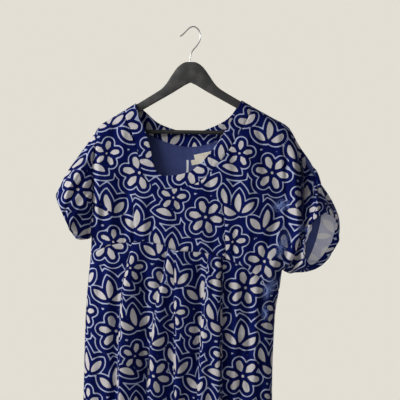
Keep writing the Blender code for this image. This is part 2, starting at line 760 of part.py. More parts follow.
def build_sleeve(name, side):
    grid, normals = sleeve_grid(side)
    sleeve = moved_in(grid, normals, 0, VELVET)
    lined = slice(0, SLEEVE_LINING_ROWS)
    lining = moved_in(grid[lined], normals[lined], VELVET + GAP, LINING_CLOTH)
    for part_name, faces, material in ((name, sleeve, "velvet"), (name + "_lining", lining, "lining")):
        outer, inner = faces
        if side > 0:
            outer, inner = outer[:, ::-1], inner[:, ::-1]
        wall(part_name, outer, inner, material, closed=True)


# Label, size tab and hanging ribbon, which lie on the lining of the back
def on_lining(flat):
    """Outer and inner grids of a flat piece that lies on the inner side of the back's lining."""
    under = VELVET + GAP + LINING_CLOTH + GAP + LABEL_CLEARANCE
    back = surface(flat, 1, BACK_RIDGES)
    inner = back - THROUGH * under
    return inner - THROUGH * RIBBON_CLOTH, inner


def tilted_rectangle(middle, length, height, tilt, rows=3, columns=5):
    across = np.linspace(-length / 2, length / 2, columns)[None, :]
    down = np.linspace(height / 2, -height / 2, rows)[:, None]
    x = middle.x + across * math.cos(tilt) - down * math.sin(tilt)
    z = middle.z + across * math.sin(tilt) + down * math.cos(tilt)
    return np.stack([x, z], -1)


def build_label():
    flat = tilted_rectangle(LABEL_MIDDLE, LABEL_LENGTH, LABEL_HEIGHT, LABEL_TILT)
    wall("label", *on_lining(flat), "label")


def build_size_tab():
    """The size tab is sewn beside the label's lower left corner."""
    along = -(LABEL_LENGTH + TAB_LENGTH) / 2 - GAP
    down = (TAB_HEIGHT - LABEL_HEIGHT) / 2
    x = LABEL_MIDDLE.x + along * math.cos(LABEL_TILT) - down * math.sin(LABEL_TILT)
    z = LABEL_MIDDLE.z + along * math.sin(LABEL_TILT) + down * math.cos(LABEL_TILT)
    flat = tilted_rectangle(Point(x, z), TAB_LENGTH, TAB_HEIGHT, LABEL_TILT, columns=3)
    wall("size_tab", *on_lining(flat), "label")


def build_ribbon():
    """A folded ribbon loop with a round top."""
    half = RIBBON_WIDTH / 2
    turns = np.array(RIBBON_TURNS) * math.pi / 2
    straight = np.linspace(half, RIBBON_LENGTH, RIBBON_STEPS + 1)[1:]
    reach = np.concatenate([half * np.sin(turns), np.full(RIBBON_STEPS, half)])
    below = np.concatenate([half * (1 - np.cos(turns)), straight])
    x = RIBBON_TOP.x + np.stack([-reach, reach], -1)
    z = np.broadcast_to(RIBBON_TOP.z - below[:, None], x.shape)
    wall("ribbon_loop", *on_lining(np.stack([x, z], -1)), "ribbon")


# Hanger
def loft(name, rings, material):
    """A closed solid through rings of points, with flat ends."""
    count, around = rings.shape[:2]
    number = np.arange(count * around).reshape(count, around)
    faces = [tuple(number[0]), tuple(number[-1][::-1])]
    for r in range(count - 1):
        for c in range(around):
            after = (c + 1) % around
            faces.append((number[r, c], number[r + 1, c], number[r + 1, after], number[r, after]))
    return add_mesh(name, rings.reshape(-1, 3), faces, material)


def board_section(x, top, low):
    """A rounded upright section of the hanger's board."""
    half = HANGER_BOARD / 2
    height = (top - low) / 2
    corner = min(HANGER_ROUND, height * HANGER_ROUND_SHARE)
    ring = []
    for quarter in range(4):
        centre_y = (half - corner) * (1 if quarter in (0, 3) else -1)
        centre_z = (height - corner) * (1 if quarter in (0, 1) else -1)
        for step in (0, 1, 2):
            angle = (quarter + step / 2) * math.pi / 2
            ring.append((x, centre_y + corner * math.cos(angle), centre_z + corner * math.sin(angle)))
    return np.array(ring) + np.array([0.0, 0.0, (top + low) / 2])


def build_hanger():
    """Upright sections from the left tip over the middle to the right tip, tilted as it hangs."""
    top = smooth_curve(ARM_TOP)
    top = np.vstack([top, smooth_curve((ARM_TOP[-1], *ARM_TIP_ROUND), 4)[1:]])
    low = np.array(ARM_LOW)
    reach = np.array(ARM_SECTIONS)
    half = [(r, curve_value(r, top), curve_value(r, low)) for r in reach]
    sections = [(-r, t, b) for r, t, b in half[::-1]] + half[1:]
    rings = np.array([board_section(*section) for section in sections])
    loft("hanger_arms", tilted(rings[:, ::-1]), "hanger")


def tilted(points):
    """Points of the hanger turned by its tilt about the top of its middle, and moved under the hook."""
    rise = ARM_TOP[0].z
    x = points[..., 0]
    z = points[..., 2] - rise
    turned_x = x * math.cos(HANGER_TILT) - z * math.sin(HANGER_TILT) + HANGER_MIDDLE
    turned_z = x * math.sin(HANGER_TILT) + z * math.cos(HANGER_TILT) + rise
    return np.stack([turned_x, points[..., 1], turned_z], -1)


def build_rod(name, route, radius, material, resolution):
    curve = bpy.data.curves.new(name, "CURVE")
    curve.dimensions = "3D"
    curve.bevel_depth = radius
    curve.bevel_resolution = resolution
    curve.use_fill_caps = True
    spline = curve.splines.new("POLY")
    spline.points.add(len(route) - 1)
    for point, place in zip(spline.points, route):
        point.co = (*place, 1.0)
    curve.materials.append(finish(material))
    made = bpy.data.objects.new(name, curve)
    bpy.context.scene.collection.objects.link(made)


def build_hook():
    flat = smooth_curve(HOOK_ROUTE, 3)
    build_rod("hook", [(x, 0.0, z) for x, z in flat], HOOK_WIRE, "steel", 2)


def main():
    clear_scene()
    build_bodice("front_bodice", -1)
    build_bodice("back_bodice", 1)
    build_band("front_neckband", -1)
    build_band("back_neckband", 1)
    build_back_lining("back_lining")
    build_skirt("front_skirt", -1)
    build_skirt("back_skirt", 1)
    build_sleeve("left_sleeve", -1)
    build_sleeve("right_sleeve", 1)
    build_label()
    build_size_tab()
    build_ribbon()
    build_hanger()
    build_rod("hanger_bar", [BAR_LEFT, BAR_RIGHT], BAR_RADIUS, "hanger", 4)
    build_hook()


main()
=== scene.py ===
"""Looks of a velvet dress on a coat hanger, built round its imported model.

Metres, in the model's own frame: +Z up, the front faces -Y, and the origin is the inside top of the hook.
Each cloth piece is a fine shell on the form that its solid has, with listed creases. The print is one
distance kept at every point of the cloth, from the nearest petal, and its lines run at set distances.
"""
import math
from collections import namedtuple

import bpy
import numpy as np
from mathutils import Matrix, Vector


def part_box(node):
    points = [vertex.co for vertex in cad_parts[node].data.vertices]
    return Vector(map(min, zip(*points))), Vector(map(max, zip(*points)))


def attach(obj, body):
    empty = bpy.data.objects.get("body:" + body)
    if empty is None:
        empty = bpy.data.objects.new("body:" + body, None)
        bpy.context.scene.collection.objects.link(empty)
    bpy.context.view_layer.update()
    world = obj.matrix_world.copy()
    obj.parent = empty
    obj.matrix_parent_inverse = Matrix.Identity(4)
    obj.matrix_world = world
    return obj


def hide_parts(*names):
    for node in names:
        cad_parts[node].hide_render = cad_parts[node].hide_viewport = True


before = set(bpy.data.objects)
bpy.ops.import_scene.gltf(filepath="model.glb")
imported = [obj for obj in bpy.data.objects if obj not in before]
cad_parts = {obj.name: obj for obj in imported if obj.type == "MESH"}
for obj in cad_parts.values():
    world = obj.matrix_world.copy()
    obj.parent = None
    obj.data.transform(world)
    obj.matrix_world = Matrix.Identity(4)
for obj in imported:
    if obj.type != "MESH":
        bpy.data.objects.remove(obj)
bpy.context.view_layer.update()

Point = namedtuple("Point", "x z")
Spot = namedtuple("Spot", "x y z")
Depth = namedtuple("Depth", "z front back")
Ridge = namedtuple("Ridge", "top_x top_z low_x low_z width rise")
Crease = namedtuple("Crease", "x z to_x to_z width rise")
SleeveCrease = namedtuple("SleeveCrease", "turn to_turn along to_along width rise")
Lip = namedtuple(
    "Lip", "seam_x upper_x middle_x hem_x seam_rise upper_rise middle_rise hem_rise faces tail"
)
Ring = namedtuple("Ring", "along top low front back")
Flower = namedtuple("Flower", "u v turn petals radius")
Spray = namedtuple("Spray", "u v turn spread leaves length width curl")
Ripple = namedtuple("Ripple", "rise slant length seed cross_slant cross_length cross_seed")
Crush = namedtuple("Crush", "x z long wide turn")
Cloth = namedtuple("Cloth", "grid normals u v")


def rows_of(kind, *rows):
    return tuple(kind(*row) for row in rows)


def in_metres(kind, *rows):
    """Rows of that kind in metres, from lengths in tenths of a millimetre."""
    return rows_of(kind, *[[length / 10000 for length in row] for row in rows])


def rings(*rows):
    """Rings of a sleeve, each with its share of the way to the hem and four spots."""
    return tuple(Ring(along, *in_metres(Spot, *spots)) for along, *spots in rows)


# Which way a piece of the body faces, and which side of it a sleeve is on
FRONT, BACK = -1, 1
LEFT, RIGHT = -1, 1

# Cloth and seams
VELVET = 0.0014
BAND_CLOTH = 0.0022
LINING_CLOTH = 0.0010
RIBBON_CLOTH = 0.0010
GAP = 0.0003
HALF_GAP = GAP / 2
TOP_ROLL = 0.024
SIDE_ROLL = 0.034
ROLL_COUNT = 12
TINY = 1e-6

# Outline from the front, as in the solids
LEFT_TOP = in_metres(
    Point, (-1328, -1745), (-1598, -1915), (-1870, -2078), (-2155, -2268), (-2347, -2553), (-2627, -2949),
    (-2931, -3394), (-3150, -3830),
)
RIGHT_TOP = in_metres(
    Point, (1110, -1678), (1430, -1865), (1785, -2062), (2187, -2306), (2423, -2732), (2796, -3403),
    (3119, -3950), (3275, -4380),
)
SHOULDER_POINTS = 4
LEFT_SIDE = in_metres(
    Point, (-2335, -4800), (-2352, -5182), (-2466, -6588), (-2519, -8535), (-2600, -11050),
)
RIGHT_SIDE = in_metres(
    Point, (2027, -5558), (1958, -6020), (1859, -6703), (1800, -8535), (1880, -11450),
)
ARMHOLES = {}
ARMHOLES[LEFT] = in_metres(
    Point, (-2155, -2268), (-2210, -2740), (-2285, -3200), (-2265, -3886), (-2335, -4800),
)
ARMHOLES[RIGHT] = in_metres(
    Point, (2187, -2306), (2350, -2800), (2465, -3350), (2490, -4000), (2470, -4527), (2279, -5214),
    (2027, -5558),
)
NECK = {}
NECK[FRONT] = in_metres(
    Point, (-1328, -1745), (-1255, -2010), (-1099, -2393), (-978, -2805), (-900, -3180), (-758, -3390),
    (-450, -3410), (-100, -3330), (120, -3180), (435, -2833), (698, -2440), (923, -2070), (1110, -1678),
)
NECK[BACK] = in_metres(
    Point, (-1328, -1745), (-1104, -1940), (-820, -2185), (-400, -2350), (-80, -2402), (298, -2335),
    (797, -2085), (1110, -1678),
)
BAND_WIDTH = {FRONT: 0.0290, BACK: 0.0330}
WAIST_SEAM = in_metres(
    Point, (-2352, -5182), (-1889, -4985), (-1340, -4901), (-813, -4935), (-378, -5095), (286, -5153),
    (845, -5322), (1278, -5556), (1617, -5787), (1958, -6020),
)
HEM = in_metres(
    Point, (-2600, -11050), (-1500, -11180), (-200, -11270), (1000, -11360), (1880, -11450),
)
DEPTHS = in_metres(
    Depth, (-1700, 260, 190), (-3000, 310, 210), (-5000, 340, 240), (-8000, 360, 260), (-11500, 420, 290),
)
DART_DEPTH = 0.0022
DART_WIDTH = 0.0045
DART_TAKE_UP = 0.018
DARTS = (
    Ridge(-0.1362, -0.3860, -0.1345, -0.4901, DART_WIDTH, -DART_DEPTH),
    Ridge(0.0665, -0.3730, 0.0735, -0.5290, DART_WIDTH, -DART_DEPTH),
)
# Broad soft ridges and troughs of the bodice and its bands, which fade in over this share from their tops
RIDGE_FADE = 0.35
RIDGES = {}
RIDGES[FRONT] = in_metres(
    Ridge, (2230, -2650, 2340, -4700, 110, 170), (1650, -2500, 2100, -4700, 220, -60),
    (1050, -3600, 1750, -5400, 200, 50), (-1950, -2600, -2000, -4500, 200, 50),
    (-1500, -3000, -1650, -4600, 200, -40),
)
RIDGES[BACK] = in_metres(
    Ridge, (-1500, -2700, -1700, -4700, 260, -40), (1300, -2700, 1600, -5200, 260, -40),
)
# Pleats: place and rise of each lip at four heights, as shares of the way to the hem, the side that it
# faces and the width over which it falls away behind
PLEAT_HEIGHTS = (0.0, 0.16, 0.40, 1.0)
PLEATS = {}
PLEATS[FRONT] = (
    Lip(-0.1345, -0.1560, -0.1660, -0.1710, 0.0045, 0.0105, 0.0140, 0.0160, -1, 0.046),
    Lip(-0.0530, -0.0740, -0.0960, -0.1060, 0.0050, 0.0090, 0.0130, 0.0150, -1, 0.042),
    Lip(-0.0375, -0.0395, -0.0400, -0.0420, 0.0050, 0.0085, 0.0105, 0.0125, -1, 0.048),
    Lip(0.0385, 0.0270, 0.0172, -0.0040, 0.0045, 0.0085, 0.0115, 0.0140, -1, 0.038),
    Lip(0.0620, 0.0610, 0.0600, 0.0640, 0.0050, 0.0090, 0.0120, 0.0140, 1, 0.036),
)
PLEATS[BACK] = (
    Lip(-0.1250, -0.1320, -0.1400, -0.1500, 0.0035, 0.0050, 0.0060, 0.0080, -1, 0.045),
    Lip(-0.0500, -0.0560, -0.0620, -0.0700, 0.0035, 0.0055, 0.0070, 0.0090, -1, 0.045),
    Lip(0.0150, 0.0200, 0.0260, 0.0340, 0.0035, 0.0055, 0.0070, 0.0090, 1, 0.045),
    Lip(0.0850, 0.0900, 0.0960, 0.1060, 0.0035, 0.0050, 0.0060, 0.0080, 1, 0.045),
)
LIP_HALF_WIDTH = 0.0052
LIP_LEAN = 0.0015
LIP_UNEVEN = 0.16
LIP_WAVES = 3.1
# Where the hidden cloth of a pleat starts, in half widths from the middle of its lip
LIP_FOLD = 0.9
# The skirt's rows are a little closer together near the waist
ROWS_CLOSER = 1.06
# Share of the skirt over which it leaves the form of the bodice's edge
WAIST_SHARE = 0.06
# Sleeves: spots at the top, the underarm, the front and the back, at shares of the way to the hem
RINGS = {}
RINGS[LEFT] = rings(
    (0.25, (-2425, -10, -2664), (-2362, -30, -4825), (-2400, -360, -3720), (-2390, 270, -3720)),
    (0.50, (-2665, -30, -3005), (-2405, -50, -4845), (-2610, -460, -3980), (-2600, 300, -3960)),
    (0.76, (-2915, -60, -3370), (-2540, -80, -4850), (-2770, -540, -4220), (-2790, 310, -4150)),
    (1.00, (-3140, -80, -3850), (-2670, -100, -4830), (-2850, -580, -4390), (-2890, 300, -4330)),
)
RINGS[RIGHT] = rings(
    (0.22, (2480, 0, -2860), (2150, -40, -5615), (2510, -100, -4100), (2480, 240, -4260)),
    (0.66, (2740, -40, -3380), (2270, -80, -5620), (2670, -480, -4240), (2790, 270, -4500)),
    (0.84, (2950, -100, -3790), (2430, -140, -5570), (2640, -640, -4400), (3260, 180, -4880)),
    (0.93, (3100, -220, -4120), (2560, -240, -5500), (2590, -700, -4480), (3280, 80, -4980)),
    (1.00, (3170, -320, -4330), (2620, -320, -5430), (2560, -730, -4580), (3140, -40, -4960)),
)
LABEL_LENGTH = 0.055
LABEL_HEIGHT = 0.022
LABEL_MIDDLE = Point(0.0299, -0.2970)
LABEL_TILT = math.radians(12)
LABEL_CLEARANCE = 0.0001
TAB_LENGTH = 0.009
TAB_HEIGHT = 0.011
RIBBON_WIDTH = 0.0050
RIBBON_TOP = Point(-0.0140, -0.3030)
RIBBON_LENGTH = 0.0700
RIBBON_SWAY = 0.0006
RIBBON_SWAY_LENGTH = 0.05
RIBBON_CROWN = 0.0004
# How far the free edges of the label and the tab lift from the lining, and how unevenly
LABEL_LIFT = 0.0008
TAB_LIFT = 0.0005
LIFT_UNEVEN = 0.4
LIFT_LENGTH = 0.03

# Fineness of the shells: columns round the neck, rows down the armhole and the side, and the rest
CURVE_STEPS = 40
NECK_MIDDLE = {FRONT: 176, BACK: 140}
SHOULDER_STEPS = 20
ARMHOLE_MIDDLE = 92
SIDE_STEPS = 13
BAND_ROWS = 14
SKIRT_ROWS = 220
LIP_STEPS = 13
PLEAT_FILLS = {FRONT: (20, 20, 12, 18, 16, 34), BACK: (24, 20, 18, 20, 24)}
SLEEVE_ROWS = 74
# Rows of a sleeve that its lining takes, and how far down the sleeve they go
LINED_ROWS = {LEFT: 50, RIGHT: 40}
SLEEVE_LINED = {LEFT: 0.667, RIGHT: 0.705}
CAP_ANGLES = (45, 90, 135)
# A sleeve's creases and ripples rise from nothing at its armhole, over this share of it, and at its
# underarm, over this width
ARMHOLE_CALM = 0.12
UNDERARM_CALM = 0.012
# The dip along a sleeve's seam starts over this width, so that its first row stays in place
SLEEVE_SEAM_START = 0.001
SLEEVE_RIPPLE = 0.0007
SLEEVE_RIPPLE_LENGTH = 0.034
SLEEVE_RIPPLE_WAVES = 1.7
SLEEVE_UNEVEN = 0.3
SLEEVE_WAVES = 2.2

# Usual depth of the front or the back, for laying its cloth out flat
BODY_DEPTH = 0.028

# Hems of the skirt and the sleeves are turned up, and so thicker over this width by this much
HEM_WIDTH = 0.016
HEM_EXTRA = 0.0012
HEM_STEP = 0.004
# How round an edge is that is sewn to another piece
SQUARE = 0.15
# The cloth sinks at a seam, and puckers along it: depth and width of the dip, then the puckers
SEAM_DIP = 0.0013
SEAM_REACH = 0.0028
PUCKER_REACH = 0.014
PUCKER_LENGTH = 0.017
PUCKER_RISE = 0.0007

# Creases of the bodice and its bands, from one end to the other
CREASES = {}
CREASES[FRONT] = in_metres(
    Crease, (-2250, -2800, -2290, -4500, 55, -100), (-2130, -3050, -2150, -4500, 60, 36),
    (-1760, -2150, -1930, -3300, 100, -34), (-1560, -2250, -1620, -3050, 90, 26),
    (-1480, -3600, -1560, -4850, 70, -26), (-1800, -3900, -1860, -4950, 100, 30),
    (-2020, -4000, -2080, -5050, 80, -34), (-1180, -4000, -1090, -4850, 80, 28),
    (-980, -3850, -930, -4700, 70, -26), (-640, -3900, -560, -4950, 90, 22),
    (-320, -3950, -280, -5050, 90, -22), (50, -3700, 140, -5100, 100, 22),
    (360, -3450, 470, -5150, 80, -28), (900, -2750, 980, -4300, 110, -30),
    (1180, -2500, 1280, -4050, 100, 28), (1500, -2300, 1640, -3600, 90, -32),
    (1920, -2400, 2020, -3500, 80, 34), (2090, -2900, 2150, -4600, 70, -50),
    (2450, -2700, 2520, -4700, 70, -220), (1880, -4200, 1520, -5500, 80, -44),
    (2060, -4300, 1780, -5700, 70, 50), (2240, -4550, 2010, -5450, 60, -56),
    (2360, -4700, 2150, -5300, 55, 50), (1260, -4500, 1180, -5450, 80, 28),
    (960, -4550, 900, -5300, 70, -24),
)
CREASES[BACK] = in_metres(
    Crease, (-1980, -2500, -2060, -4300, 100, -26), (-1300, -2300, -1400, -3900, 120, 20),
    (-1000, -2900, -1080, -4750, 100, -18), (-500, -2800, -540, -4850, 120, 18),
    (-100, -3000, -60, -5050, 100, -16), (400, -2800, 480, -5100, 120, 18),
    (950, -2600, 1080, -5300, 110, -20), (1850, -2600, 2000, -4300, 100, 26),
    (1950, -4400, 1680, -5600, 90, -26),
)
SKIRT_CREASES = {}
SKIRT_CREASES[FRONT] = in_metres(
    Crease, (-2080, -5250, -2160, -6500, 90, -34), (-1880, -5300, -1980, -7600, 120, 34),
    (-1740, -5900, -1820, -11100, 80, -46), (-2100, -7000, -2180, -10200, 160, -44),
    (-1980, -8200, -2040, -11100, 130, 34), (-1150, -5450, -1080, -8000, 100, -110),
    (-1120, -7600, -1220, -11200, 120, -120), (-640, -5200, -790, -5950, 55, -60),
    (-560, -6000, -520, -9500, 90, -64), (-760, -8500, -800, -11200, 110, 30),
    (-500, -9000, -540, -11200, 80, -60), (-180, -5300, -200, -6600, 80, 24),
    (130, -5400, 60, -7900, 65, -68), (-140, -7600, -190, -11200, 100, -90),
    (450, -5300, 430, -6300, 60, -26), (390, -7000, 340, -11200, 110, -44),
    (730, -5400, 760, -9000, 80, -100), (810, -8500, 860, -11300, 110, -100),
    (1000, -5600, 960, -7400, 80, 34), (1060, -7000, 1100, -11200, 80, -50),
    (1240, -5700, 1220, -8300, 80, -44), (1420, -5850, 1380, -7900, 80, 44),
    (1570, -6050, 1490, -7200, 60, -50), (1530, -7300, 1500, -10400, 90, -50),
    (1260, -8600, 1340, -11300, 120, 44),
)
SKIRT_CREASES[BACK] = in_metres(
    Crease, (-2100, -5300, -2180, -8800, 120, -34), (-1850, -6000, -1960, -11000, 140, 32),
    (-1480, -5200, -1600, -9500, 90, -36), (-920, -5200, -1000, -11000, 130, -34),
    (-180, -5400, -160, -11200, 140, -32), (360, -5500, 480, -9800, 100, -36),
    (640, -6500, 740, -11200, 120, 30), (1080, -5700, 1220, -10000, 100, -36),
    (1450, -6000, 1500, -11300, 120, 34), (1680, -6300, 1640, -9200, 80, -30),
)
# Creases of the sleeves: turns from the top, forwards, in degrees, and shares of the way to the hem
SLEEVE_CREASES = {}
SLEEVE_CREASES[LEFT] = rows_of(
    SleeveCrease, (20, 30, 0.05, 0.85, 0.0090, -0.0030), (48, 62, 0.00, 0.75, 0.0080, 0.0034),
    (72, 80, 0.05, 0.95, 0.0080, -0.0044), (98, 104, 0.00, 0.80, 0.0070, 0.0036),
    (122, 118, 0.10, 1.00, 0.0080, -0.0044), (140, 132, 0.30, 1.00, 0.0060, 0.0036),
    (156, 150, 0.20, 1.00, 0.0060, -0.0036), (-30, -40, 0.05, 0.80, 0.0090, -0.0030),
    (-75, -85, 0.05, 0.95, 0.0090, 0.0034), (-120, -112, 0.00, 0.80, 0.0090, -0.0036),
)
SLEEVE_CREASES[RIGHT] = rows_of(
    SleeveCrease, (10, 14, 0.10, 0.70, 0.0080, -0.0034), (26, 32, 0.15, 0.80, 0.0070, 0.0040),
    (42, 50, 0.10, 0.85, 0.0070, -0.0052), (58, 62, 0.20, 1.00, 0.0065, 0.0046),
    (74, 74, 0.10, 0.85, 0.0070, -0.0056), (90, 88, 0.25, 1.00, 0.0065, 0.0046),
    (108, 104, 0.10, 0.80, 0.0065, -0.0050), (124, 122, 0.25, 1.00, 0.0060, 0.0044),
    (142, 146, 0.10, 0.90, 0.0060, -0.0040), (-30, -42, 0.05, 0.80, 0.0090, -0.0030),
    (-70, -84, 0.05, 0.95, 0.0090, 0.0034), (-115, -108, 0.00, 0.85, 0.0090, -0.0036),
)
# A crease fades over this share of its length at each end, bends by this share of its width and varies in
# height by this share, over these lengths
CREASE_ENDS = 0.30
CREASE_BEND = 0.25
CREASE_BEND_LENGTH = 0.09
CREASE_UNEVEN = 0.35
CREASE_UNEVEN_LENGTH = 0.05
# The skirt's creases are this much deeper than their rows say
SKIRT_DEEPER = 1.35
# Ripples of hung cloth: in each row a wave that runs across it is crossed by one that runs down it
RIPPLES = (
    Ripple(0.0011, 0.35, 0.052, 0, -0.2, 0.145, 3),
    Ripple(0.0005, -0.25, 0.027, 5, 0.6, 0.048, 1),
)

# Patches of crushed nap on the front, with ragged edges; their lighter blue is partly the nap's own tone,
# partly a painted sheen
CRUSHED_NAP_SHEEN_PATCHES = rows_of(
    Crush, (0.1970, -0.4080, 0.0200, 0.0130, 20), (0.2010, -0.4980, 0.0300, 0.0110, 70),
    (0.1720, -0.5950, 0.0280, 0.0120, 60), (0.2480, -0.4600, 0.0120, 0.0080, 0),
    (-0.2700, -0.4780, 0.0160, 0.0060, 0), (0.1620, -0.6500, 0.0160, 0.0080, 80),
)
CRUSH_RAGGED = 0.3
CRUSH_RAGGED_ACROSS = 0.011
CRUSH_RAGGED_DOWN = 0.013
CRUSH_REACH = 1.3

# Print: a half-drop repeat of flowers and sprays of leaves, with pale lines round them
REPEAT_WIDTH = 0.150
REPEAT_HEIGHT = 0.200
SPRAYS = (
    Spray(0.030, 0.186, 275, 106, 3, 0.050, 0.0074, 0.35),
    Spray(0.070, 0.136, 20, 40, 1, 0.046, 0.0072, -0.5),
    Spray(0.122, 0.050, 262, 106, 3, 0.050, 0.0074, -0.35),
    Spray(0.076, 0.182, 70, 40, 1, 0.044, 0.0070, 0.5),
)
FLOWERS = (
    Flower(0.040, 0.054, 12, 6, 0.0390),
    Flower(0.116, 0.110, -8, 5, 0.0300),
)
# Pale lines run at these distances from the petals and leaves
OUTLINE_REACH = 0.0090
ECHO_REACH = 0.0204
FIELD_REACH = 0.0300
# A petal's places from the eye, and its half widths there, as shares of the flower's radius
PETAL_PLACES = (0.31, 0.58, 0.80)
PETAL_WIDTHS = (0.045, 0.190, 0.160)
EYE_SHARE = 0.085
LEAF_START = 0.0075
# The outer leaves of a spray are shorter and more curled than the middle one
LEAF_SHORTER = 0.3
LEAF_CURLED = 0.8

# Shifts of the print on each piece, across and down
PRINT_SHIFTS = {
    "front_bodice": (0.012, 0.020),
    "back_bodice": (0.070, 0.050),
    "front_neckband": (0.052, 0.131),
    "back_neckband": (0.033, 0.075),
    "front_skirt": (0.091, 0.060),
    "back_skirt": (0.020, 0.110),
    "left_sleeve": (0.105, 0.010),
    "right_sleeve": (0.040, 0.120),
}
PLEAT_TAKE_UP = 0.024


# Curves
def smooth_curve(points, steps=CURVE_STEPS):
    """Close points on a smooth curve through the given ones."""
    p = np.array(points, float)
    p = np.vstack([2 * p[0] - p[1], p, 2 * p[-1] - p[-2]])
    t = np.linspace(0, 1, steps, endpoint=False)[:, None]
    spans = []
    for a, b, c, d in zip(p, p[1:], p[2:], p[3:]):
        bend = (2 * a - 5 * b + 4 * c - d) * t**2 + (3 * b - a - 3 * c + d) * t**3
        spans.append(b + 0.5 * ((c - a) * t + bend))
    return np.vstack([*spans, p[-2]])


def unit(vectors):
    """Vectors of length 1 that point the same ways."""
    return vectors / np.linalg.norm(vectors, axis=-1, keepdims=True)


def lengths(curve):
    return np.concatenate([[0], np.cumsum(np.linalg.norm(np.diff(curve, axis=0), axis=1))])


def at_lengths(curve, wanted):
    """Points at these lengths along a curve."""
    run = lengths(curve)
    return np.stack([np.interp(wanted, run, curve[:, axis]) for axis in range(curve.shape[1])], -1)


def curve_value(x, curve):
    """Height of a left-to-right curve at x."""
    return np.interp(x, curve[:, 0], curve[:, 1])


def eased(x, knots, values):
    """A smooth value through a table."""
    knots = np.array(knots, float)
    values = np.array(values, float)
    slopes = np.gradient(values, knots, axis=0)
    x = np.clip(x, knots[0], knots[-1])
    i = np.clip(np.searchsorted(knots, x) - 1, 0, len(knots) - 2)
    width = knots[i + 1] - knots[i]
    t = (x - knots[i]) / width
    start = (1 + 2 * t) * (1 - t) ** 2 * values[i] + t * (1 - t) ** 2 * width * slopes[i]
    end = t**2 * (3 - 2 * t) * values[i + 1] - t**2 * (1 - t) * width * slopes[i + 1]
    return start + end


def smooth_step(t):
    t = np.clip(t, 0, 1)
    return t * t * (3 - 2 * t)


# Rates and sizes of the waves in an uneven one
WAVES = ((1.0, 0.55), (0.61, 0.30), (1.73, 0.25))
SEED_STEP = 2.3


def wobble(t, seed):
    """An uneven wave between about -1 and 1, whose main length is 1."""
    turn = 2 * math.pi * t
    return sum(size * np.sin(rate * turn + seed * (SEED_STEP + rate)) for rate, size in WAVES)


def roll_steps(radius):
    """Distances from an edge that are even steps round a quarter turn of that radius."""
    return radius * (1 - np.cos(np.linspace(0, math.pi / 2, ROLL_COUNT + 1)[1:]))


def spaced(length, start_steps, end_steps, middle):
    """Lengths along a line: close steps at each end and even ones between."""
    ends = length - np.array(end_steps)[::-1]
    between = np.linspace(start_steps[-1], ends[0], middle + 1)[1:-1]
    return np.concatenate([[0], start_steps, between, ends, [length]])


# Form of the garment
def ways_to(x, z, line):
    """The way from points to their nearest place on each stretch of a line, seen from the front."""
    for start, end in zip(line, line[1:]):
        step = end - start
        along = np.clip(((x - start[0]) * step[0] + (z - start[1]) * step[1]) / (step @ step), 0, 1)
        yield start[0] + along * step[0] - x, start[1] + along * step[1] - z


def distance(x, z, line):
    best = np.full(np.shape(x), np.inf)
    for way in ways_to(x, z, line):
        best = np.minimum(best, np.hypot(*way))
    return best


OUTLINE_STEPS = 16
TOP_LINES = [smooth_curve(LEFT_TOP, OUTLINE_STEPS), smooth_curve(RIGHT_TOP, OUTLINE_STEPS)]
SIDE_LINES = [smooth_curve(LEFT_SIDE, OUTLINE_STEPS), smooth_curve(RIGHT_SIDE, OUTLINE_STEPS)]


def quarter_round(share):
    return np.sqrt(1 - (1 - np.clip(share, 0, 1)) ** 2)


def edge_round(x, z):
    """0 on the outline of the body, rising on a round to 1 inside it."""
    top = np.minimum(*[distance(x, z, line) for line in TOP_LINES])
    side = np.minimum(*[distance(x, z, line) for line in SIDE_LINES])
    return quarter_round(top / TOP_ROLL) * quarter_round(side / SIDE_ROLL)


def ridge_rise(x, z, ridge):
    """A soft ridge or trough that runs from one point to another and fades at its upper end."""
    line = np.array([[ridge.top_x, ridge.top_z], [ridge.low_x, ridge.low_z]])
    across = distance(x, z, line) / ridge.width
    fade = np.clip((ridge.top_z - z) / (ridge.top_z - ridge.low_z) / RIDGE_FADE, 0, 1)
    return ridge.rise * np.exp(-(across**2)) * fade * fade * (3 - 2 * fade)


def crease_rise(x, z, creases):
    """Soft uneven ridges and troughs that fade at both ends."""
    total = np.zeros(np.shape(x))
    for number, crease in enumerate(creases):
        step = np.array([crease.to_x - crease.x, crease.to_z - crease.z])
        length = np.linalg.norm(step)
        way = step / length
        along = (x - crease.x) * way[0] + (z - crease.z) * way[1]
        bend = CREASE_BEND * crease.width * wobble(along / CREASE_BEND_LENGTH, number)
        across = ((x - crease.x) * way[1] - (z - crease.z) * way[0] + bend) / crease.width
        share = along / length
        fade = smooth_step(share / CREASE_ENDS + 0.5) * smooth_step((1 - share) / CREASE_ENDS + 0.5)
        uneven = 1 + CREASE_UNEVEN * wobble(along / CREASE_UNEVEN_LENGTH, number + 7)
        total += crease.rise * uneven * fade * np.exp(-(across**2))
    return total


def ripple(x, z, seed):
    """A low unevenness of hung cloth."""
    total = np.zeros(np.shape(x))
    for row in RIPPLES:
        wave = wobble((x + row.slant * z) / row.length, seed + row.seed)
        crossing = wobble((z + row.cross_slant * x) / row.cross_length, seed + row.cross_seed)
        total += row.rise * wave * crossing
    return total


def body_depth(x, z, facing, ridges, creases):
    """How far the front (facing -1) or the back (facing 1) stands out from the middle plane."""
    column = "front" if facing == FRONT else "back"
    full = eased(z, [d.z for d in DEPTHS][::-1], [getattr(d, column) for d in DEPTHS][::-1])
    for ridge in ridges:
        full = full + ridge_rise(x, z, ridge)
    full = full + crease_rise(x, z, creases) + ripple(x, z, facing + 2)
    return full * edge_round(x, z) + HALF_GAP


def surface(flat, facing, ridges):
    """Points of the front or the back at these places seen from the front."""
    depth = body_depth(flat[..., 0], flat[..., 1], facing, ridges, CREASES[facing])
    return np.stack([flat[..., 0], facing * depth, flat[..., 1]], -1)


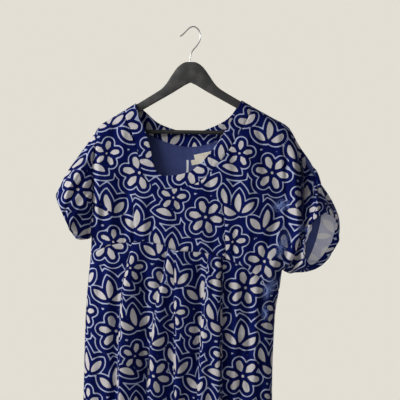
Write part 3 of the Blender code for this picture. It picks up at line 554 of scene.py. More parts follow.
def grid_normals(grid):
    """Unit normals of a grid of points, rows by columns."""
    return unit(np.cross(np.gradient(grid, axis=0), np.gradient(grid, axis=1)))


def outward(normals, facing):
    """The normals, all turned about if they point into the body."""
    return normals * np.where((normals[..., 1:2] * facing).sum() < 0, -1, 1)


def square(normals, directions):
    """Takes from an edge's normals what they have along these directions, so that the edge is square."""
    normals[...] = unit(normals - (normals * directions).sum(-1, keepdims=True) * directions)


def in_plane(way):
    return np.stack([way[:, 0], np.zeros(len(way)), way[:, 1]], -1)


def run_down(grid):
    """Length of cloth from the first row to each point."""
    steps = np.linalg.norm(np.diff(grid, axis=0), axis=-1)
    return np.vstack([np.zeros(grid.shape[1]), np.cumsum(steps, axis=0)])


def run_across(grid, middle):
    """Length of cloth from the middle column to each point, negative at its left."""
    steps = np.linalg.norm(np.diff(grid, axis=1), axis=-1)
    run = np.hstack([np.zeros((len(grid), 1)), np.cumsum(steps, axis=1)])
    return run - run[:, middle : middle + 1]


def nearest(x, z, line):
    """Distance of points from a line, and the unit way to its nearest place."""
    best = np.full(np.shape(x), np.inf)
    chosen = np.zeros((*np.shape(x), 2))
    for way in ways_to(x, z, line):
        away = np.hypot(*way)
        closer = away < best
        best = np.where(closer, away, best)
        chosen[closer] = np.stack(way, -1)[closer]
    return best, chosen / np.maximum(best, TINY)[..., None]


def cloth_place(x, z, depth):
    """Places on the flat cloth across and down, with the cloth that goes round the edges laid out."""
    u, v = x.copy(), -z
    for lines, radius in ((TOP_LINES, TOP_ROLL), (SIDE_LINES, SIDE_ROLL)):
        for line in lines:
            away, way = nearest(x, z, line)
            angle = np.arccos(1 - np.clip(away / radius, 0, 1))
            extra = (radius + depth) / 2 * (math.pi / 2 - angle) - np.clip(radius - away, 0, None)
            u += way[..., 0] * extra
            v -= way[..., 1] * extra
    return u, v


# Print
def drop_field(along, across, start, stop, start_radius, stop_radius):
    """Distance from a drop: two circles on one axis and the straight sides that touch both."""
    length = stop - start
    lean = (start_radius - stop_radius) / length
    upright = math.sqrt(1 - lean**2)
    along = along - start
    across = abs(across)
    place = along * upright - across * lean
    side = across * upright + along * lean - start_radius
    first = np.hypot(along, across) - start_radius
    last = np.hypot(along - length, across) - stop_radius
    return np.where(place < 0, first, np.where(place > upright * length, last, side))


def leaf_field(u, v, base, turn, length, width, curl):
    """Distance from a bent leaf with two pointed ends, each side of which is an arc."""
    x = (u - base[0]) * math.cos(turn) + (v - base[1]) * math.sin(turn) - (length + LEAF_START) / 2
    y = (v - base[1]) * math.cos(turn) - (u - base[0]) * math.sin(turn)
    half = (length - LEAF_START) / 2
    edges = []
    for side in (1, -1):
        bulge = width * (1 + side * curl)
        radius = (half**2 + bulge**2) / (2 * bulge)
        edges.append(np.hypot(x, y - side * (bulge - radius)) - radius)
    return np.maximum(*edges)


def petal_field(u, v, middle, turn, petals, radius):
    """Distance from the round petals and the eye of a flower."""
    best = np.hypot(u - middle[0], v - middle[1]) - radius * EYE_SHARE
    places = radius * np.array(PETAL_PLACES)
    radii = radius * np.array(PETAL_WIDTHS)
    for k in range(petals):
        angle = turn + 2 * math.pi * k / petals
        along = (u - middle[0]) * math.cos(angle) + (v - middle[1]) * math.sin(angle)
        across = (v - middle[1]) * math.cos(angle) - (u - middle[0]) * math.sin(angle)
        for i in range(len(places) - 1):
            drop = drop_field(along, across, places[i], places[i + 1], radii[i], radii[i + 1])
            best = np.minimum(best, drop)
    return best


def motifs(columns, rows):
    """Every motif over those columns and rows of the repeat, as its place, its reach and its shape."""
    for column, row in [(c, r) for r in rows for c in columns]:
        for spray in SPRAYS:
            base = place_in_repeat(spray, column, row)
            for k in range(spray.leaves):
                side = k / (spray.leaves - 1) - 0.5 if spray.leaves > 1 else 0.0
                turn = math.radians(spray.turn + side * spray.spread)
                length = spray.length * (1 - LEAF_SHORTER * abs(side))
                facts = (base, turn, length, spray.width, spray.curl + side * LEAF_CURLED)
                yield base, spray.length + FIELD_REACH, leaf_field, facts
        for flower in FLOWERS:
            middle = place_in_repeat(flower, column, row)
            facts = (middle, math.radians(flower.turn), flower.petals, flower.radius)
            yield middle, flower.radius + FIELD_REACH, petal_field, facts


def place_in_repeat(motif, column, row):
    drop = 0.5 * (column % 2)
    return np.array([motif.u + column * REPEAT_WIDTH, motif.v + (row + drop) * REPEAT_HEIGHT])


def print_field(u, v):
    """Distance on the cloth from the nearest petal or leaf, negative inside it."""
    petal = np.full(u.shape, FIELD_REACH)
    columns = range(math.floor(u.min() / REPEAT_WIDTH) - 1, math.ceil(u.max() / REPEAT_WIDTH) + 1)
    rows = range(math.floor(v.min() / REPEAT_HEIGHT) - 1, math.ceil(v.max() / REPEAT_HEIGHT) + 1)
    for place, reach, field, facts in motifs(columns, rows):
        near = (abs(u - place[0]) < reach) & (abs(v - place[1]) < reach)
        if near.any():
            petal[near] = np.minimum(petal[near], field(u[near], v[near], *facts))
    return petal


# Cloth grids
NECK_ROLL_STEPS = roll_steps(TOP_ROLL)
SIDE_ROLL_STEPS = roll_steps(SIDE_ROLL)
# How evenly the columns are spread at the waist seam, as a share, and how far from the sides they start
EVEN_COLUMNS = 0.2
SIDE_CLEAR = SIDE_ROLL * 4 / 3
# Widths of the neckband over which it turns to the slope of the shoulder
SHOULDER_TURN = 0.8
THROUGH = np.array([0.0, 1.0, 0.0])
UPRIGHT = np.array([0.0, 0.0, 1.0])


def neck_lines(facing):
    """Points of the neck's edge and of the band's seam, and the way from one to the other at each."""
    width = BAND_WIDTH[facing]
    curve = smooth_curve(NECK[facing])
    run = lengths(curve)[-1]
    at = spaced(run, NECK_ROLL_STEPS, NECK_ROLL_STEPS, NECK_MIDDLE[facing])
    edge = at_lengths(curve, at)
    tangent = unit(np.gradient(edge, axis=0))
    out = np.stack([tangent[:, 1], -tangent[:, 0]], -1)
    left = at_lengths(TOP_LINES[0], [width])[0]
    right = at_lengths(TOP_LINES[1], [width])[0]
    for end, target, near in ((0, left, at), (-1, right, run - at)):
        way = (target - edge[end]) / width
        share = np.exp(-near / (SHOULDER_TURN * width))[:, None]
        out = out * (1 - share) + way * share
    out[0] = (left - edge[0]) / width
    out[-1] = (right - edge[-1]) / width
    out = unit(out)
    seam = edge + out * width
    seam[0] = left
    seam[-1] = right
    return edge, seam, out


def seam_under(top):
    """Points of the waist seam under the columns that start at these points of the bodice's top edge."""
    curve = smooth_curve(WAIST_SEAM)
    run = lengths(curve)[-1]
    rolled = len(SIDE_ROLL_STEPS) + 1
    by_place = (top[:, 0] - top[0, 0]) / (top[-1, 0] - top[0, 0])
    by_count = np.linspace(0, 1, len(top))
    at = (by_place * (1 - EVEN_COLUMNS) + by_count * EVEN_COLUMNS)[rolled:-rolled]
    inside = np.interp(at, [at[0], at[-1]], [SIDE_CLEAR, run - SIDE_CLEAR])
    ends = np.concatenate([[0], SIDE_ROLL_STEPS])
    return at_lengths(curve, np.concatenate([ends, inside, (run - ends)[::-1]]))


def armhole(side):
    curve = smooth_curve(ARMHOLES[side])
    steps = SIDE_ROLL_STEPS[1:]
    return at_lengths(curve, spaced(lengths(curve)[-1], NECK_ROLL_STEPS, steps, ARMHOLE_MIDDLE))


def towards_sleeve(flat, side):
    """The way across an armhole's seam at each of its points, towards the sleeve."""
    tangent = unit(np.gradient(flat, axis=0))
    return in_plane(side * np.stack([-tangent[:, 1], tangent[:, 0]], -1))


def side_part(line, seam_end):
    """Points down the side from the underarm to the waist seam."""
    stop = lengths(line)[np.argmin(abs(line[:, 1] - seam_end[1]))]
    points = at_lengths(line, np.linspace(0, stop, SIDE_STEPS + 1))
    points[-1] = seam_end
    return points[1:]


def shares(line):
    run = lengths(line)
    return run / run[-1]


def patch(top, low, left, right):
    """Points inside four edges: rows run from top to low, columns from left to right."""
    u_top = shares(top)[None, :]
    u_low = shares(low)[None, :]
    v_left = shares(left)[:, None]
    v_right = shares(right)[:, None]
    even = np.linspace(0, 1, len(top))[None, :]
    v = v_left * (1 - even) + v_right * even
    u = u_top * (1 - v) + u_low * v
    u, v = u[..., None], v[..., None]
    corners = (1 - u) * (1 - v) * top[0] + u * (1 - v) * top[-1] + (1 - u) * v * low[0] + u * v * low[-1]
    return (1 - v) * top[None] + v * low[None] + (1 - u) * left[:, None] + u * right[:, None] - corners


def seam_sink(away, along, seed):
    """How far cloth stands in at this distance from a seam, or out where it puckers along it."""
    dip = SEAM_DIP * np.exp(-((away / SEAM_REACH) ** 2))
    pucker = PUCKER_RISE * wobble(along / PUCKER_LENGTH, seed)
    return dip - pucker * (away / SEAM_REACH) * np.exp(-away / (PUCKER_REACH / 2))


def band_cloth(facing):
    """Grid and normals of a neckband."""
    edge, seam, out = neck_lines(facing)
    seam = seam - out * HALF_GAP
    share = np.linspace(0, 1, BAND_ROWS)[:, None, None]
    flat = edge * (1 - share) + seam * share
    grid = surface(flat, facing, RIDGES[facing])
    normals = outward(grid_normals(grid), facing)
    square(normals[:, 0], THROUGH)
    square(normals[:, -1], THROUGH)
    square(normals[-1], in_plane(out))
    down = run_down(grid)
    across = run_across(grid, 0)
    grid = grid - normals * seam_sink(down[-1] - down, across, facing)[..., None]
    u, v = cloth_place(grid[..., 0], grid[..., 2], BODY_DEPTH)
    return Cloth(grid, normals, u, v)


def bodice_cloth(facing):
    """Grid and normals of the front or back bodice, outside its neckband."""
    band_seam, out = neck_lines(facing)[1:]
    band_seam = band_seam + out * HALF_GAP
    shoulders = []
    for line, points in zip(TOP_LINES, (LEFT_TOP, RIGHT_TOP)):
        tip = points[SHOULDER_POINTS - 1]
        run = lengths(line)[np.argmin(np.linalg.norm(line - np.array(tip), axis=1))]
        flat_part = np.linspace(SIDE_ROLL, run - BAND_WIDTH[facing], SHOULDER_STEPS + 1, endpoint=False)[1:]
        steps = np.concatenate([[0], SIDE_ROLL_STEPS, flat_part])
        shoulders.append(at_lengths(line, run - steps))
    top = np.vstack([shoulders[0], band_seam, shoulders[1][::-1]])
    low = seam_under(top)
    left = np.vstack([armhole(LEFT), side_part(SIDE_LINES[0], low[0])])
    right = np.vstack([armhole(RIGHT), side_part(SIDE_LINES[1], low[-1])])
    flat = patch(top, low, left, right)
    ridges = (*RIDGES[facing], *DARTS) if facing == FRONT else RIDGES[facing]
    grid = surface(flat, facing, ridges)
    normals = outward(grid_normals(grid), facing)
    neck = slice(len(shoulders[0]), -len(shoulders[1]))
    square(normals[0, neck], in_plane(out))
    square(normals[0, : neck.start], THROUGH)
    square(normals[0, neck.stop :], THROUGH)
    for column, side in ((0, LEFT), (-1, RIGHT)):
        way = towards_sleeve(armhole(side), side)
        arm_rows = len(way)
        grid[:arm_rows, column] -= way * HALF_GAP
        square(normals[:arm_rows, column], way)
        square(normals[arm_rows - 1 :, column], THROUGH)
    square(normals[-1], UPRIGHT)
    grid[-1, :, 2] += HALF_GAP
    down = run_down(grid)
    across = run_across(grid, 0)
    at_neck = np.zeros(grid.shape[1])
    at_neck[neck] = 1
    sink = seam_sink(down, across, facing + 4) * at_neck + seam_sink(down[-1] - down, across, facing + 6)
    sides = np.minimum(across, across[:, -1:] - across)
    sink += seam_sink(sides, down, facing + 8) * edge_round(grid[..., 0], grid[..., 2])
    grid = grid - normals * sink[..., None]
    u, v = cloth_place(grid[..., 0], grid[..., 2], BODY_DEPTH)
    if facing == FRONT:
        u += dart_shift(grid[..., 0], grid[..., 2])
    return Cloth(grid, normals, u, v)


def dart_shift(x, z):
    """How far the print moves to each side of the darts, for the cloth that they take up."""
    shift = np.zeros(x.shape)
    for dart in DARTS:
        share = np.clip((dart.top_z - z) / (dart.top_z - dart.low_z), 0, 1)
        line = dart.top_x + (dart.low_x - dart.top_x) * share
        shift += np.sign(x - line) * share * DART_TAKE_UP / 2
    return shift


def lip_line(lip, v):
    return eased(v, PLEAT_HEIGHTS, (lip.seam_x, lip.upper_x, lip.middle_x, lip.hem_x))


def skirt_columns(pleats, fills, left, right, v):
    """Places across the skirt at one height, closer together round the sides and over each lip."""
    x = [left, *(left + SIDE_ROLL_STEPS)]
    for lip, fill in zip(pleats, fills):
        zone = lip_line(lip, v) + LIP_HALF_WIDTH * np.linspace(-1, 1, LIP_STEPS)
        x.extend(np.linspace(x[-1], zone[0], fill + 2)[1:-1])
        x.extend(zone)
    ends = right - SIDE_ROLL_STEPS[::-1]
    x.extend(np.linspace(x[-1], ends[0], fills[-1] + 2)[1:-1])
    return np.array([*x, *ends, right])


def pleat_shape(x, pleats, v):
    """Lean and rise of the pleats at places x and the height v, and the cloth hidden under them."""
    lean = np.zeros(len(x))
    rise = np.zeros(len(x))
    hidden = np.zeros(len(x))
    for number, lip in enumerate(pleats):
        q = -lip.faces * (x - lip_line(lip, v)) / LIP_HALF_WIDTH
        past = np.clip((q - 1) * LIP_HALF_WIDTH / lip.tail, 0, 1)
        height = eased(v, PLEAT_HEIGHTS, (lip.seam_rise, lip.upper_rise, lip.middle_rise, lip.hem_rise))
        height = height * (1 + LIP_UNEVEN * wobble(v * LIP_WAVES, number + 1.5))
        rise += height * smooth_step((q + 1) / 2) * (1 + np.cos(math.pi * past)) / 2
        lean += lip.faces * LIP_LEAN * np.sin(math.pi * np.clip(q, -1, 1))
        hidden += np.where(q * -lip.faces > lip.faces * LIP_FOLD, PLEAT_TAKE_UP, 0)
    return lean, rise, hidden


def skirt_cloth(facing, bodice):
    """Grid and normals of the front or back of the skirt, from the waist seam to the hem."""
    pleats = PLEATS[facing]
    seam = bodice.grid[-1][:, [0, 2]] - np.array([0.0, GAP])
    hem = smooth_curve(HEM)
    plain = body_depth(seam[:, 0], seam[:, 1], facing, (), ())
    offset = facing * bodice.grid[-1][:, 1] - plain + SEAM_DIP
    rows = []
    uncreased_rows = []
    hidden_rows = []
    for v in np.linspace(0, 1, SKIRT_ROWS) ** ROWS_CLOSER:
        ends = []
        for line, column in zip(SIDE_LINES, (0, -1)):
            z = seam[column, 1] * (1 - v) + hem[column, 1] * v
            ends.append(curve_value(-z, line[:, ::-1] * np.array([-1.0, 1.0])))
        if v == 0:
            ends = [seam[0, 0], seam[-1, 0]]
        x = skirt_columns(pleats, PLEAT_FILLS[facing], *ends, v)
        lean, rise, hidden = pleat_shape(x, pleats, v)
        x = x + lean
        z = curve_value(x, seam) * (1 - v) + curve_value(x, hem) * v
        rise += np.interp(x, seam[:, 0], offset) * (1 - smooth_step(v / WAIST_SHARE))
        inside = edge_round(x, z)
        depth = body_depth(x, z, facing, (), ()) + rise * inside
        uncreased_rows.append(np.stack([x, facing * depth, z], -1))
        depth += SKIRT_DEEPER * crease_rise(x, z, SKIRT_CREASES[facing]) * inside
        rows.append(np.stack([x, facing * depth, z], -1))
        hidden_rows.append(hidden)
    grid = np.array(rows)
    normals = outward(grid_normals(grid), facing)
    square(normals[:, 0], THROUGH)
    square(normals[:, -1], THROUGH)
    square(normals[0], UPRIGHT)
    u, v = skirt_place(np.array(uncreased_rows), grid.shape[1] // 2)
    sink = seam_sink(run_down(grid), u, facing + 10) * edge_round(grid[..., 0], grid[..., 2])
    return Cloth(grid - normals * sink[..., None], normals, u + np.array(hidden_rows), v)


def skirt_place(grid, middle):
    """Places on the flat cloth of the skirt: across it on the level, and down it from its seam's height."""
    steps = np.hypot(np.diff(grid[..., 0], axis=1), np.diff(grid[..., 1], axis=1))
    run = np.hstack([np.zeros((len(grid), 1)), np.cumsum(steps, axis=1)])
    start = grid[:, middle : middle + 1, 0] - run[:, middle : middle + 1]
    return run + start, run_down(grid) - grid[0, :, 2]


def sleeve_cloth(side, bodices):
    """Grid and normals of a sleeve: rows go from armhole to hem, and columns round from the underarm."""
    flat = armhole(side)
    count = len(flat)
    step = towards_sleeve(flat, side) * GAP
    column = 0 if side == LEFT else -1
    both = [bodices[facing] for facing in (FRONT, BACK)]
    before_arm, behind_arm = [cloth.grid[:count, column] + step for cloth in both]
    before_normals, behind_normals = [cloth.normals[:count, column] for cloth in both]
    before_arm[[0, -1], 1] = 0
    behind_arm[[0, -1], 1] = 0
    first = np.vstack([before_arm[::-1], behind_arm[1:]])
    turn = np.arccos(1 - 2 * shares(flat))
    turn = np.concatenate([turn[::-1], -turn[1:]])
    shapes = [first]
    for ring in RINGS[side]:
        top, low, before, behind = (np.array(spot) for spot in ring[1:])
        middle = (top + low) / 2
        out = np.where(turn[:, None] >= 0, before - middle, middle - behind)
        shapes.append(middle + np.cos(turn[:, None]) * (top - middle) + np.sin(turn[:, None]) * out)
    knots = (0.0, *(ring.along for ring in RINGS[side]))
    lined = np.linspace(0, SLEEVE_LINED[side], LINED_ROWS[side], endpoint=False)
    along = np.concatenate([lined, np.linspace(SLEEVE_LINED[side], 1, SLEEVE_ROWS - len(lined))])
    grid = np.array([eased(t, knots, shapes) for t in along])
    normals = sleeve_normals(grid)
    normals[0] = np.vstack([before_normals[::-1], behind_normals[1:]])
    rise = sleeve_rise(grid, np.degrees(turn), along, SLEEVE_CREASES[side])
    down = run_down(grid)
    across = run_across(grid, count - 1)
    rise -= seam_sink(down, across, side + 3) * smooth_step(down / SLEEVE_SEAM_START)
    u, v = tube_place(grid, count - 1)
    grid = grid + normals * rise[..., None]
    normals[1:] = sleeve_normals(grid)[1:]
    return Cloth(grid, normals, u, v)


def tube_place(grid, middle):
    """Places on the flat cloth of a tube: round its own axis from a column, and down it."""
    axis = unit(grid[-1].mean(axis=0) - grid[0].mean(axis=0))
    steps = np.diff(grid, axis=1)
    steps = steps - (steps @ axis)[..., None] * axis
    run = np.hstack([np.zeros((len(grid), 1)), np.cumsum(np.linalg.norm(steps, axis=-1), axis=1)])
    along = grid @ axis
    down = run_down(grid).mean(axis=1, keepdims=True) + along - along.mean(axis=1, keepdims=True)
    return run - run[:, middle : middle + 1], down


def sleeve_normals(grid):
    """Normals of a tube whose last column lies on its first."""
    down = np.gradient(grid, axis=0)
    across = np.gradient(grid, axis=1)
    across[:, [0, -1]] = (grid[:, 1] - grid[:, -2])[:, None]
    normals = unit(np.cross(down, across))
    from_middle = grid - grid.mean(axis=1, keepdims=True)
    return normals * np.sign((normals * from_middle).sum())


def sleeve_rise(grid, turn, along, creases):
    """Creases of a sleeve, which run down it from the armhole and fade there."""
    rise = np.zeros(grid.shape[:2])
    around = run_across(grid, 0)
    for number, crease in enumerate(creases):
        share = (along - crease.along) / (crease.to_along - crease.along)
        at = crease.turn + (crease.to_turn - crease.turn) * share
        place = np.array([np.interp(-t, -turn, row) for t, row in zip(at, around)])
        across = (around - place[:, None]) / crease.width
        fade = smooth_step(share / CREASE_ENDS + 0.4) * smooth_step((1 - share) / CREASE_ENDS + 0.6)
        uneven = 1 + SLEEVE_UNEVEN * wobble(along * SLEEVE_WAVES, number + 2)
        rise += crease.rise * (uneven * fade)[:, None] * np.exp(-(across**2))
    from_underarm = np.minimum(around, around[:, -1:] - around)
    ripples = wobble(around / SLEEVE_RIPPLE_LENGTH, 2) * wobble(along * SLEEVE_RIPPLE_WAVES, 4)[:, None]
    rise += SLEEVE_RIPPLE * ripples
    calm = smooth_step(along / ARMHOLE_CALM)[:, None] * smooth_step(from_underarm / UNDERARM_CALM)
    return rise * calm


# Meshes
def put_object(name, data):
    made = bpy.data.objects.new(name, data)
    bpy.context.scene.collection.objects.link(made)
    return made


def put_mesh(name, points, quads, triangles, finishes, second):
    """A smooth mesh object. The faces marked in second take the second finish."""
    mesh = bpy.data.meshes.new(name)
    mesh.from_pydata(points.tolist(), [], quads.tolist() + triangles.tolist())
    for finish in finishes:
        mesh.materials.append(finish)
    mesh.polygons.foreach_set("material_index", np.asarray(second, dtype=np.int32))
    mesh.shade_smooth()
    return put_object(name, mesh)


def put_fields(made, uv, **fields):
    """Cloth lengths as the map of the mesh, and values kept at its points."""
    mesh = made.data
    corners = np.empty(len(mesh.loops), dtype=np.int32)
    mesh.loops.foreach_get("vertex_index", corners)
    mesh.uv_layers.new(name="Fabric").data.foreach_set("uv", uv[corners].ravel().astype(np.float32))
    for name, values in fields.items():
        kept = mesh.attributes.new(name, "FLOAT", "POINT")
        kept.data.foreach_set("value", values.astype(np.float32))


def edge_cap(outer, inner, away, bulge):
    """Rows that round an edge off, between its outer and its inner points."""
    middle = (outer + inner) / 2
    half = (outer - inner) / 2
    radius = np.linalg.norm(half, axis=-1, keepdims=True)
    rows = []
    for degrees in CAP_ANGLES:
        angle = math.radians(degrees)
        rows.append(middle + math.cos(angle) * half + math.sin(angle) * radius * bulge * away)
    return np.array(rows)


def shell(name, cloth, start, thick, finishes, facing, bulges=(1.0, 1.0), hem=0.0):
    """A wall of cloth inside these points, and the row that each of its rows comes from.

    bulges are how round its first and last edges are, and hem is how much thicker it is at the last.
    """
    grid, normals = cloth.grid, cloth.normals
    down = run_down(grid)
    fold = smooth_step((down - down[-1] + HEM_WIDTH) / HEM_STEP)[..., None] * hem
    outer = grid - normals * (start - fold / 2)
    inner = grid - normals * (start + thick + fold / 2)
    top_cap = edge_cap(inner[0], outer[0], unit(outer[0] - outer[1]), bulges[0])
    low_cap = edge_cap(outer[-1], inner[-1], unit(outer[-1] - outer[-2]), bulges[1])
    points = np.concatenate([outer, low_cap, inner[::-1], top_cap])
    count, columns = points.shape[:2]
    rows, cap = len(outer), len(CAP_ANGLES)
    number = np.arange(count * columns).reshape(count, columns)
    after = np.roll(number, -1, axis=0)
    quads = np.stack([number[:, :-1], after[:, :-1], after[:, 1:], number[:, 1:]], -1).reshape(-1, 4)
    turned_in = np.zeros((count, columns - 1), dtype=bool)
    turned_in[rows + cap - 1 : 2 * rows + cap] = True
    ends, triangles = end_faces(number, rows, cap)
    quads = np.concatenate([quads, ends])
    second = np.concatenate([turned_in.ravel(), np.zeros(len(ends) + len(triangles), dtype=bool)])
    if facing > 0:
        quads = quads[:, ::-1]
        triangles = triangles[:, ::-1]
    source = [*range(rows), *[rows - 1] * cap, *range(rows - 1, -1, -1), *[0] * cap]
    return put_mesh(name, points.reshape(-1, 3), quads, triangles, finishes, second), source


def end_faces(number, rows, cap):
    """Faces that close the first and last columns of a wall, between its outer and its inner rows."""
    count = len(number)
    quads = []
    triangles = []
    for column, turned in ((0, False), (-1, True)):
        for i in range(-1, rows):
            j = (2 * rows + cap - 1 - i) % count
            quad = (number[i, column], number[j, column], number[j - 1, column], number[i + 1, column])
            quads.append(quad[::-1] if turned else quad)
        top = (number[-2, column], number[-cap, column], number[-1, column])
        low = (number[rows, column], number[rows + 2, column], number[rows + 1, column])
        triangles.extend(t[::-1] if turned else t for t in (top, low))
    return np.array(quads), np.array(triangles)


def crushed_nap_sheen_field(grid):
    """How crushed the nap is, from 0 to 1, on cloth seen from the front: partly the nap's own tone, partly
    a painted sheen.
    """
    nap = np.zeros(grid.shape[:2])
    for crush in CRUSHED_NAP_SHEEN_PATCHES:
        turn = math.radians(crush.turn)
        x, z = grid[..., 0] - crush.x, grid[..., 2] - crush.z
        along = (x * math.cos(turn) + z * math.sin(turn)) / crush.long
        across = (z * math.cos(turn) - x * math.sin(turn)) / crush.wide
        ragged = wobble(grid[..., 0] / CRUSH_RAGGED_ACROSS, 2) * wobble(grid[..., 2] / CRUSH_RAGGED_DOWN, 5)
        nap = np.maximum(nap, smooth_step(CRUSH_REACH - np.hypot(along, across) + CRUSH_RAGGED * ragged))
    return nap * (grid[..., 1] < 0)


# Colours, as the light that each sends back
NAVY = (0.0016, 0.0042, 0.058)
NAVY_LIT = (0.0045, 0.0125, 0.130)
PETAL = (0.60, 0.57, 0.58)
PETAL_DARK = (0.44, 0.42, 0.43)
OUTLINE = (0.42, 0.46, 0.64)
# Lighter blue of crushed nap: partly its own tone, partly a painted sheen
CRUSHED_NAP_SHEEN = (0.170, 0.240, 0.560)
SHEEN = (0.35, 0.48, 1.0)
WRONG_SIDE = (0.74, 0.74, 0.86)
WRONG_SIDE_PRINT = (0.46, 0.47, 0.66)
WRONG_SIDE_PALE = (0.95, 0.93, 0.91)
LINING = (0.050, 0.068, 0.205)
LINING_LIT = (0.062, 0.084, 0.250)
LABEL = (0.94, 0.88, 0.74)
LABEL_EDGE = (0.88, 0.80, 0.64)
RIBBON = (0.95, 0.96, 0.98)
RIBBON_GREY = (0.78, 0.80, 0.84)
HANGER = (0.026, 0.025, 0.024)
# Greyer colour of the hanger's arms: partly rubbed wear, partly a painted sheen
HANGER_WEAR_AND_SHEEN = (0.064, 0.061, 0.056)
STEEL = (0.62, 0.62, 0.60)
STEEL_DARK = (0.50, 0.50, 0.49)
FLOOR = (0.74, 0.72, 0.68)
FLOOR_GREY = (0.70, 0.68, 0.64)

# Half the width of the print's lines, and how far the nap blurs and frays its edges
OUTLINE_HALF = 0.0012
LINE_UNEVEN = 0.2
BLUR = 0.0004
FRAY = 0.0012


# Finishes
def put(tree, value, entry):
    """Links or sets one input of a node."""
    if isinstance(value, bpy.types.NodeSocket):
        tree.links.new(value, entry)
    else:
        entry.default_value = (*value, 1.0) if isinstance(value, tuple) else value


def add_node(tree, kind, inputs, **settings):
    made = tree.nodes.new("ShaderNode" + kind)
    for name, value in settings.items():
        setattr(made, name, value)
    for name, value in inputs.items():
        put(tree, value, made.inputs[name])
    return made


class Finish:
    """A material and the nodes that give it colour, roughness and height, in the piece's own space."""

    def __init__(self, name, gloss=0.5, metallic=0.0):
        self.material = bpy.data.materials.new(name)
        self.material.use_nodes = True
        self.tree = self.material.node_tree
        self.place = self.add("TexCoord", {}).outputs["Object"]
        self.set("Specular IOR Level", gloss)
        self.set("Metallic", metallic)

    def add(self, kind, inputs, **settings):
        return add_node(self.tree, kind, inputs, **settings)

    def set(self, name, value):
        put(self.tree, value, self.tree.nodes["Principled BSDF"].inputs[name])

    def noise(self, scale, detail=2.0, roughness=0.5):
        facts = {"Vector": self.place, "Scale": scale, "Detail": detail, "Roughness": roughness}
        return self.add("TexNoise", facts).outputs["Fac"]

    def between(self, value, low, high, to_low=0.0, to_high=1.0):
        """The value's place between two limits, as a smooth share or another range."""
        facts = {"Value": value, "From Min": low, "From Max": high, "To Min": to_low, "To Max": to_high}
        return self.add("MapRange", facts, interpolation_type="SMOOTHSTEP").outputs["Result"]

    def mottle(self, low, high, *noise):
        return self.between(self.noise(*noise), low, high)

    def compute(self, operation, first, second=0.0):
        return self.add("Math", {0: first, 1: second}, operation=operation).outputs["Value"]

    def times(self, first, second):
        return self.compute("MULTIPLY", first, second)

    def kept(self, name):
        """A value that is kept at the mesh's points."""
        return self.add("Attribute", {}, attribute_name=name).outputs["Fac"]

    def blended(self, share, first, second):
        return self.add("Mix", {0: share, 6: first, 7: second}, data_type="RGBA").outputs[2]

    def weave(self, pitch):
        """Height of a plain weave on the cloth's own map, of that pitch."""
        place = self.add("UVMap", {}, uv_map="Fabric").outputs["UV"]
        parts = self.add("SeparateXYZ", {"Vector": place}).outputs
        turns = [self.times(parts[axis], 2 * math.pi / pitch) for axis in ("X", "Y")]
        return self.times(*[self.compute("SINE", turn) for turn in turns])

    def bump(self, height, strength, distance):
        facts = {"Height": height, "Strength": strength, "Distance": distance}
        self.set("Normal", self.add("Bump", facts).outputs["Normal"])

    def print_shares(self):
        """How far a point is petal and how far it is outline, with the fuzzy edge that a nap gives."""
        frayed = self.times(self.compute("SUBTRACT", self.noise(900.0), 0.5), FRAY)
        petal = self.compute("ADD", self.kept("petal"), frayed)
        lines = [self.compute("SUBTRACT", petal, reach) for reach in (OUTLINE_REACH, ECHO_REACH)]
        line = self.compute("MINIMUM", *[self.compute("ABSOLUTE", away) for away in lines])
        widths = [OUTLINE_HALF * (1 - LINE_UNEVEN), OUTLINE_HALF * (1 + LINE_UNEVEN)]
        over = self.compute("SUBTRACT", line, self.between(self.noise(45.0), 0.2, 0.8, *widths))
        return [self.between(value, -BLUR, BLUR, 1.0, 0.0) for value in (petal, over)]


def velvet_finish():
    made = Finish("printed velvet", gloss=0.06)
    petal, outline = made.print_shares()
    streak = made.mottle(0.3, 0.7, 420.0, 3.0, 0.6)
    ground = made.blended(made.times(made.mottle(0.25, 0.75, 60.0, 4.0, 0.6), 0.5), NAVY, NAVY_LIT)
    motif = made.blended(made.times(streak, 0.5), PETAL, PETAL_DARK)
    colour = made.blended(outline, made.blended(petal, ground, motif), OUTLINE)
    # Crushed nap lightens the colour: partly its own tone, partly a painted sheen
    nap = made.times(made.kept("nap"), made.mottle(0.32, 0.58, 260.0))
    made.set("Base Color", made.blended(nap, colour, CRUSHED_NAP_SHEEN))
    made.set("Roughness", made.between(petal, 0.0, 1.0, 0.92, 0.82))
    made.set("Sheen Weight", 0.07)
    made.set("Sheen Roughness", 0.35)
    made.set("Sheen Tint", SHEEN)
    pile = made.compute("ADD", made.noise(1500.0, 3.0), made.times(streak, 0.6))
    made.bump(made.compute("ADD", pile, made.times(petal, -0.5)), 0.35, 0.0004)
    return made.material


def wrong_side_finish():
    """The back of the printed cloth, where the print shows through faintly."""
    made = Finish("back of the velvet")
    petal, outline = made.print_shares()
    share = made.times(made.mottle(0.3, 0.7, 200.0, 3.0), 0.35)
    ground = made.blended(share, WRONG_SIDE, WRONG_SIDE_PRINT)
    made.set("Base Color", made.blended(made.times(petal, 0.9), ground, WRONG_SIDE_PALE))
    made.set("Roughness", made.between(outline, 0.0, 1.0, 0.86, 0.80))
    made.bump(made.weave(0.0009), 0.3, 0.0002)
    return made.material


def lining_finish():
    made = Finish("navy lining", gloss=0.12)
    made.set("Base Color", made.blended(made.mottle(0.3, 0.7, 25.0, 3.0), LINING, LINING_LIT))
    made.set("Roughness", made.between(made.noise(300.0), 0.3, 0.7, 0.50, 0.62))
    made.bump(made.weave(0.0008), 0.35, 0.0002)
    return made.material


def mottled_finish(name, colours, mottle, rough, bump, pitch=0.0, grain=(), **facts):
    """A finish of two colours and two roughnesses, whose height is a weave of that pitch or a noise.

    mottle is the noise's limits and scale, bump its strength and distance.
    """
    made = Finish(name, **facts)
    share = made.mottle(*mottle)
    made.set("Base Color", made.blended(share, *colours))
    made.set("Roughness", made.between(share, 0.0, 1.0, *rough))
    made.bump(made.weave(pitch) if pitch else made.noise(*grain), *bump)
    return made.material


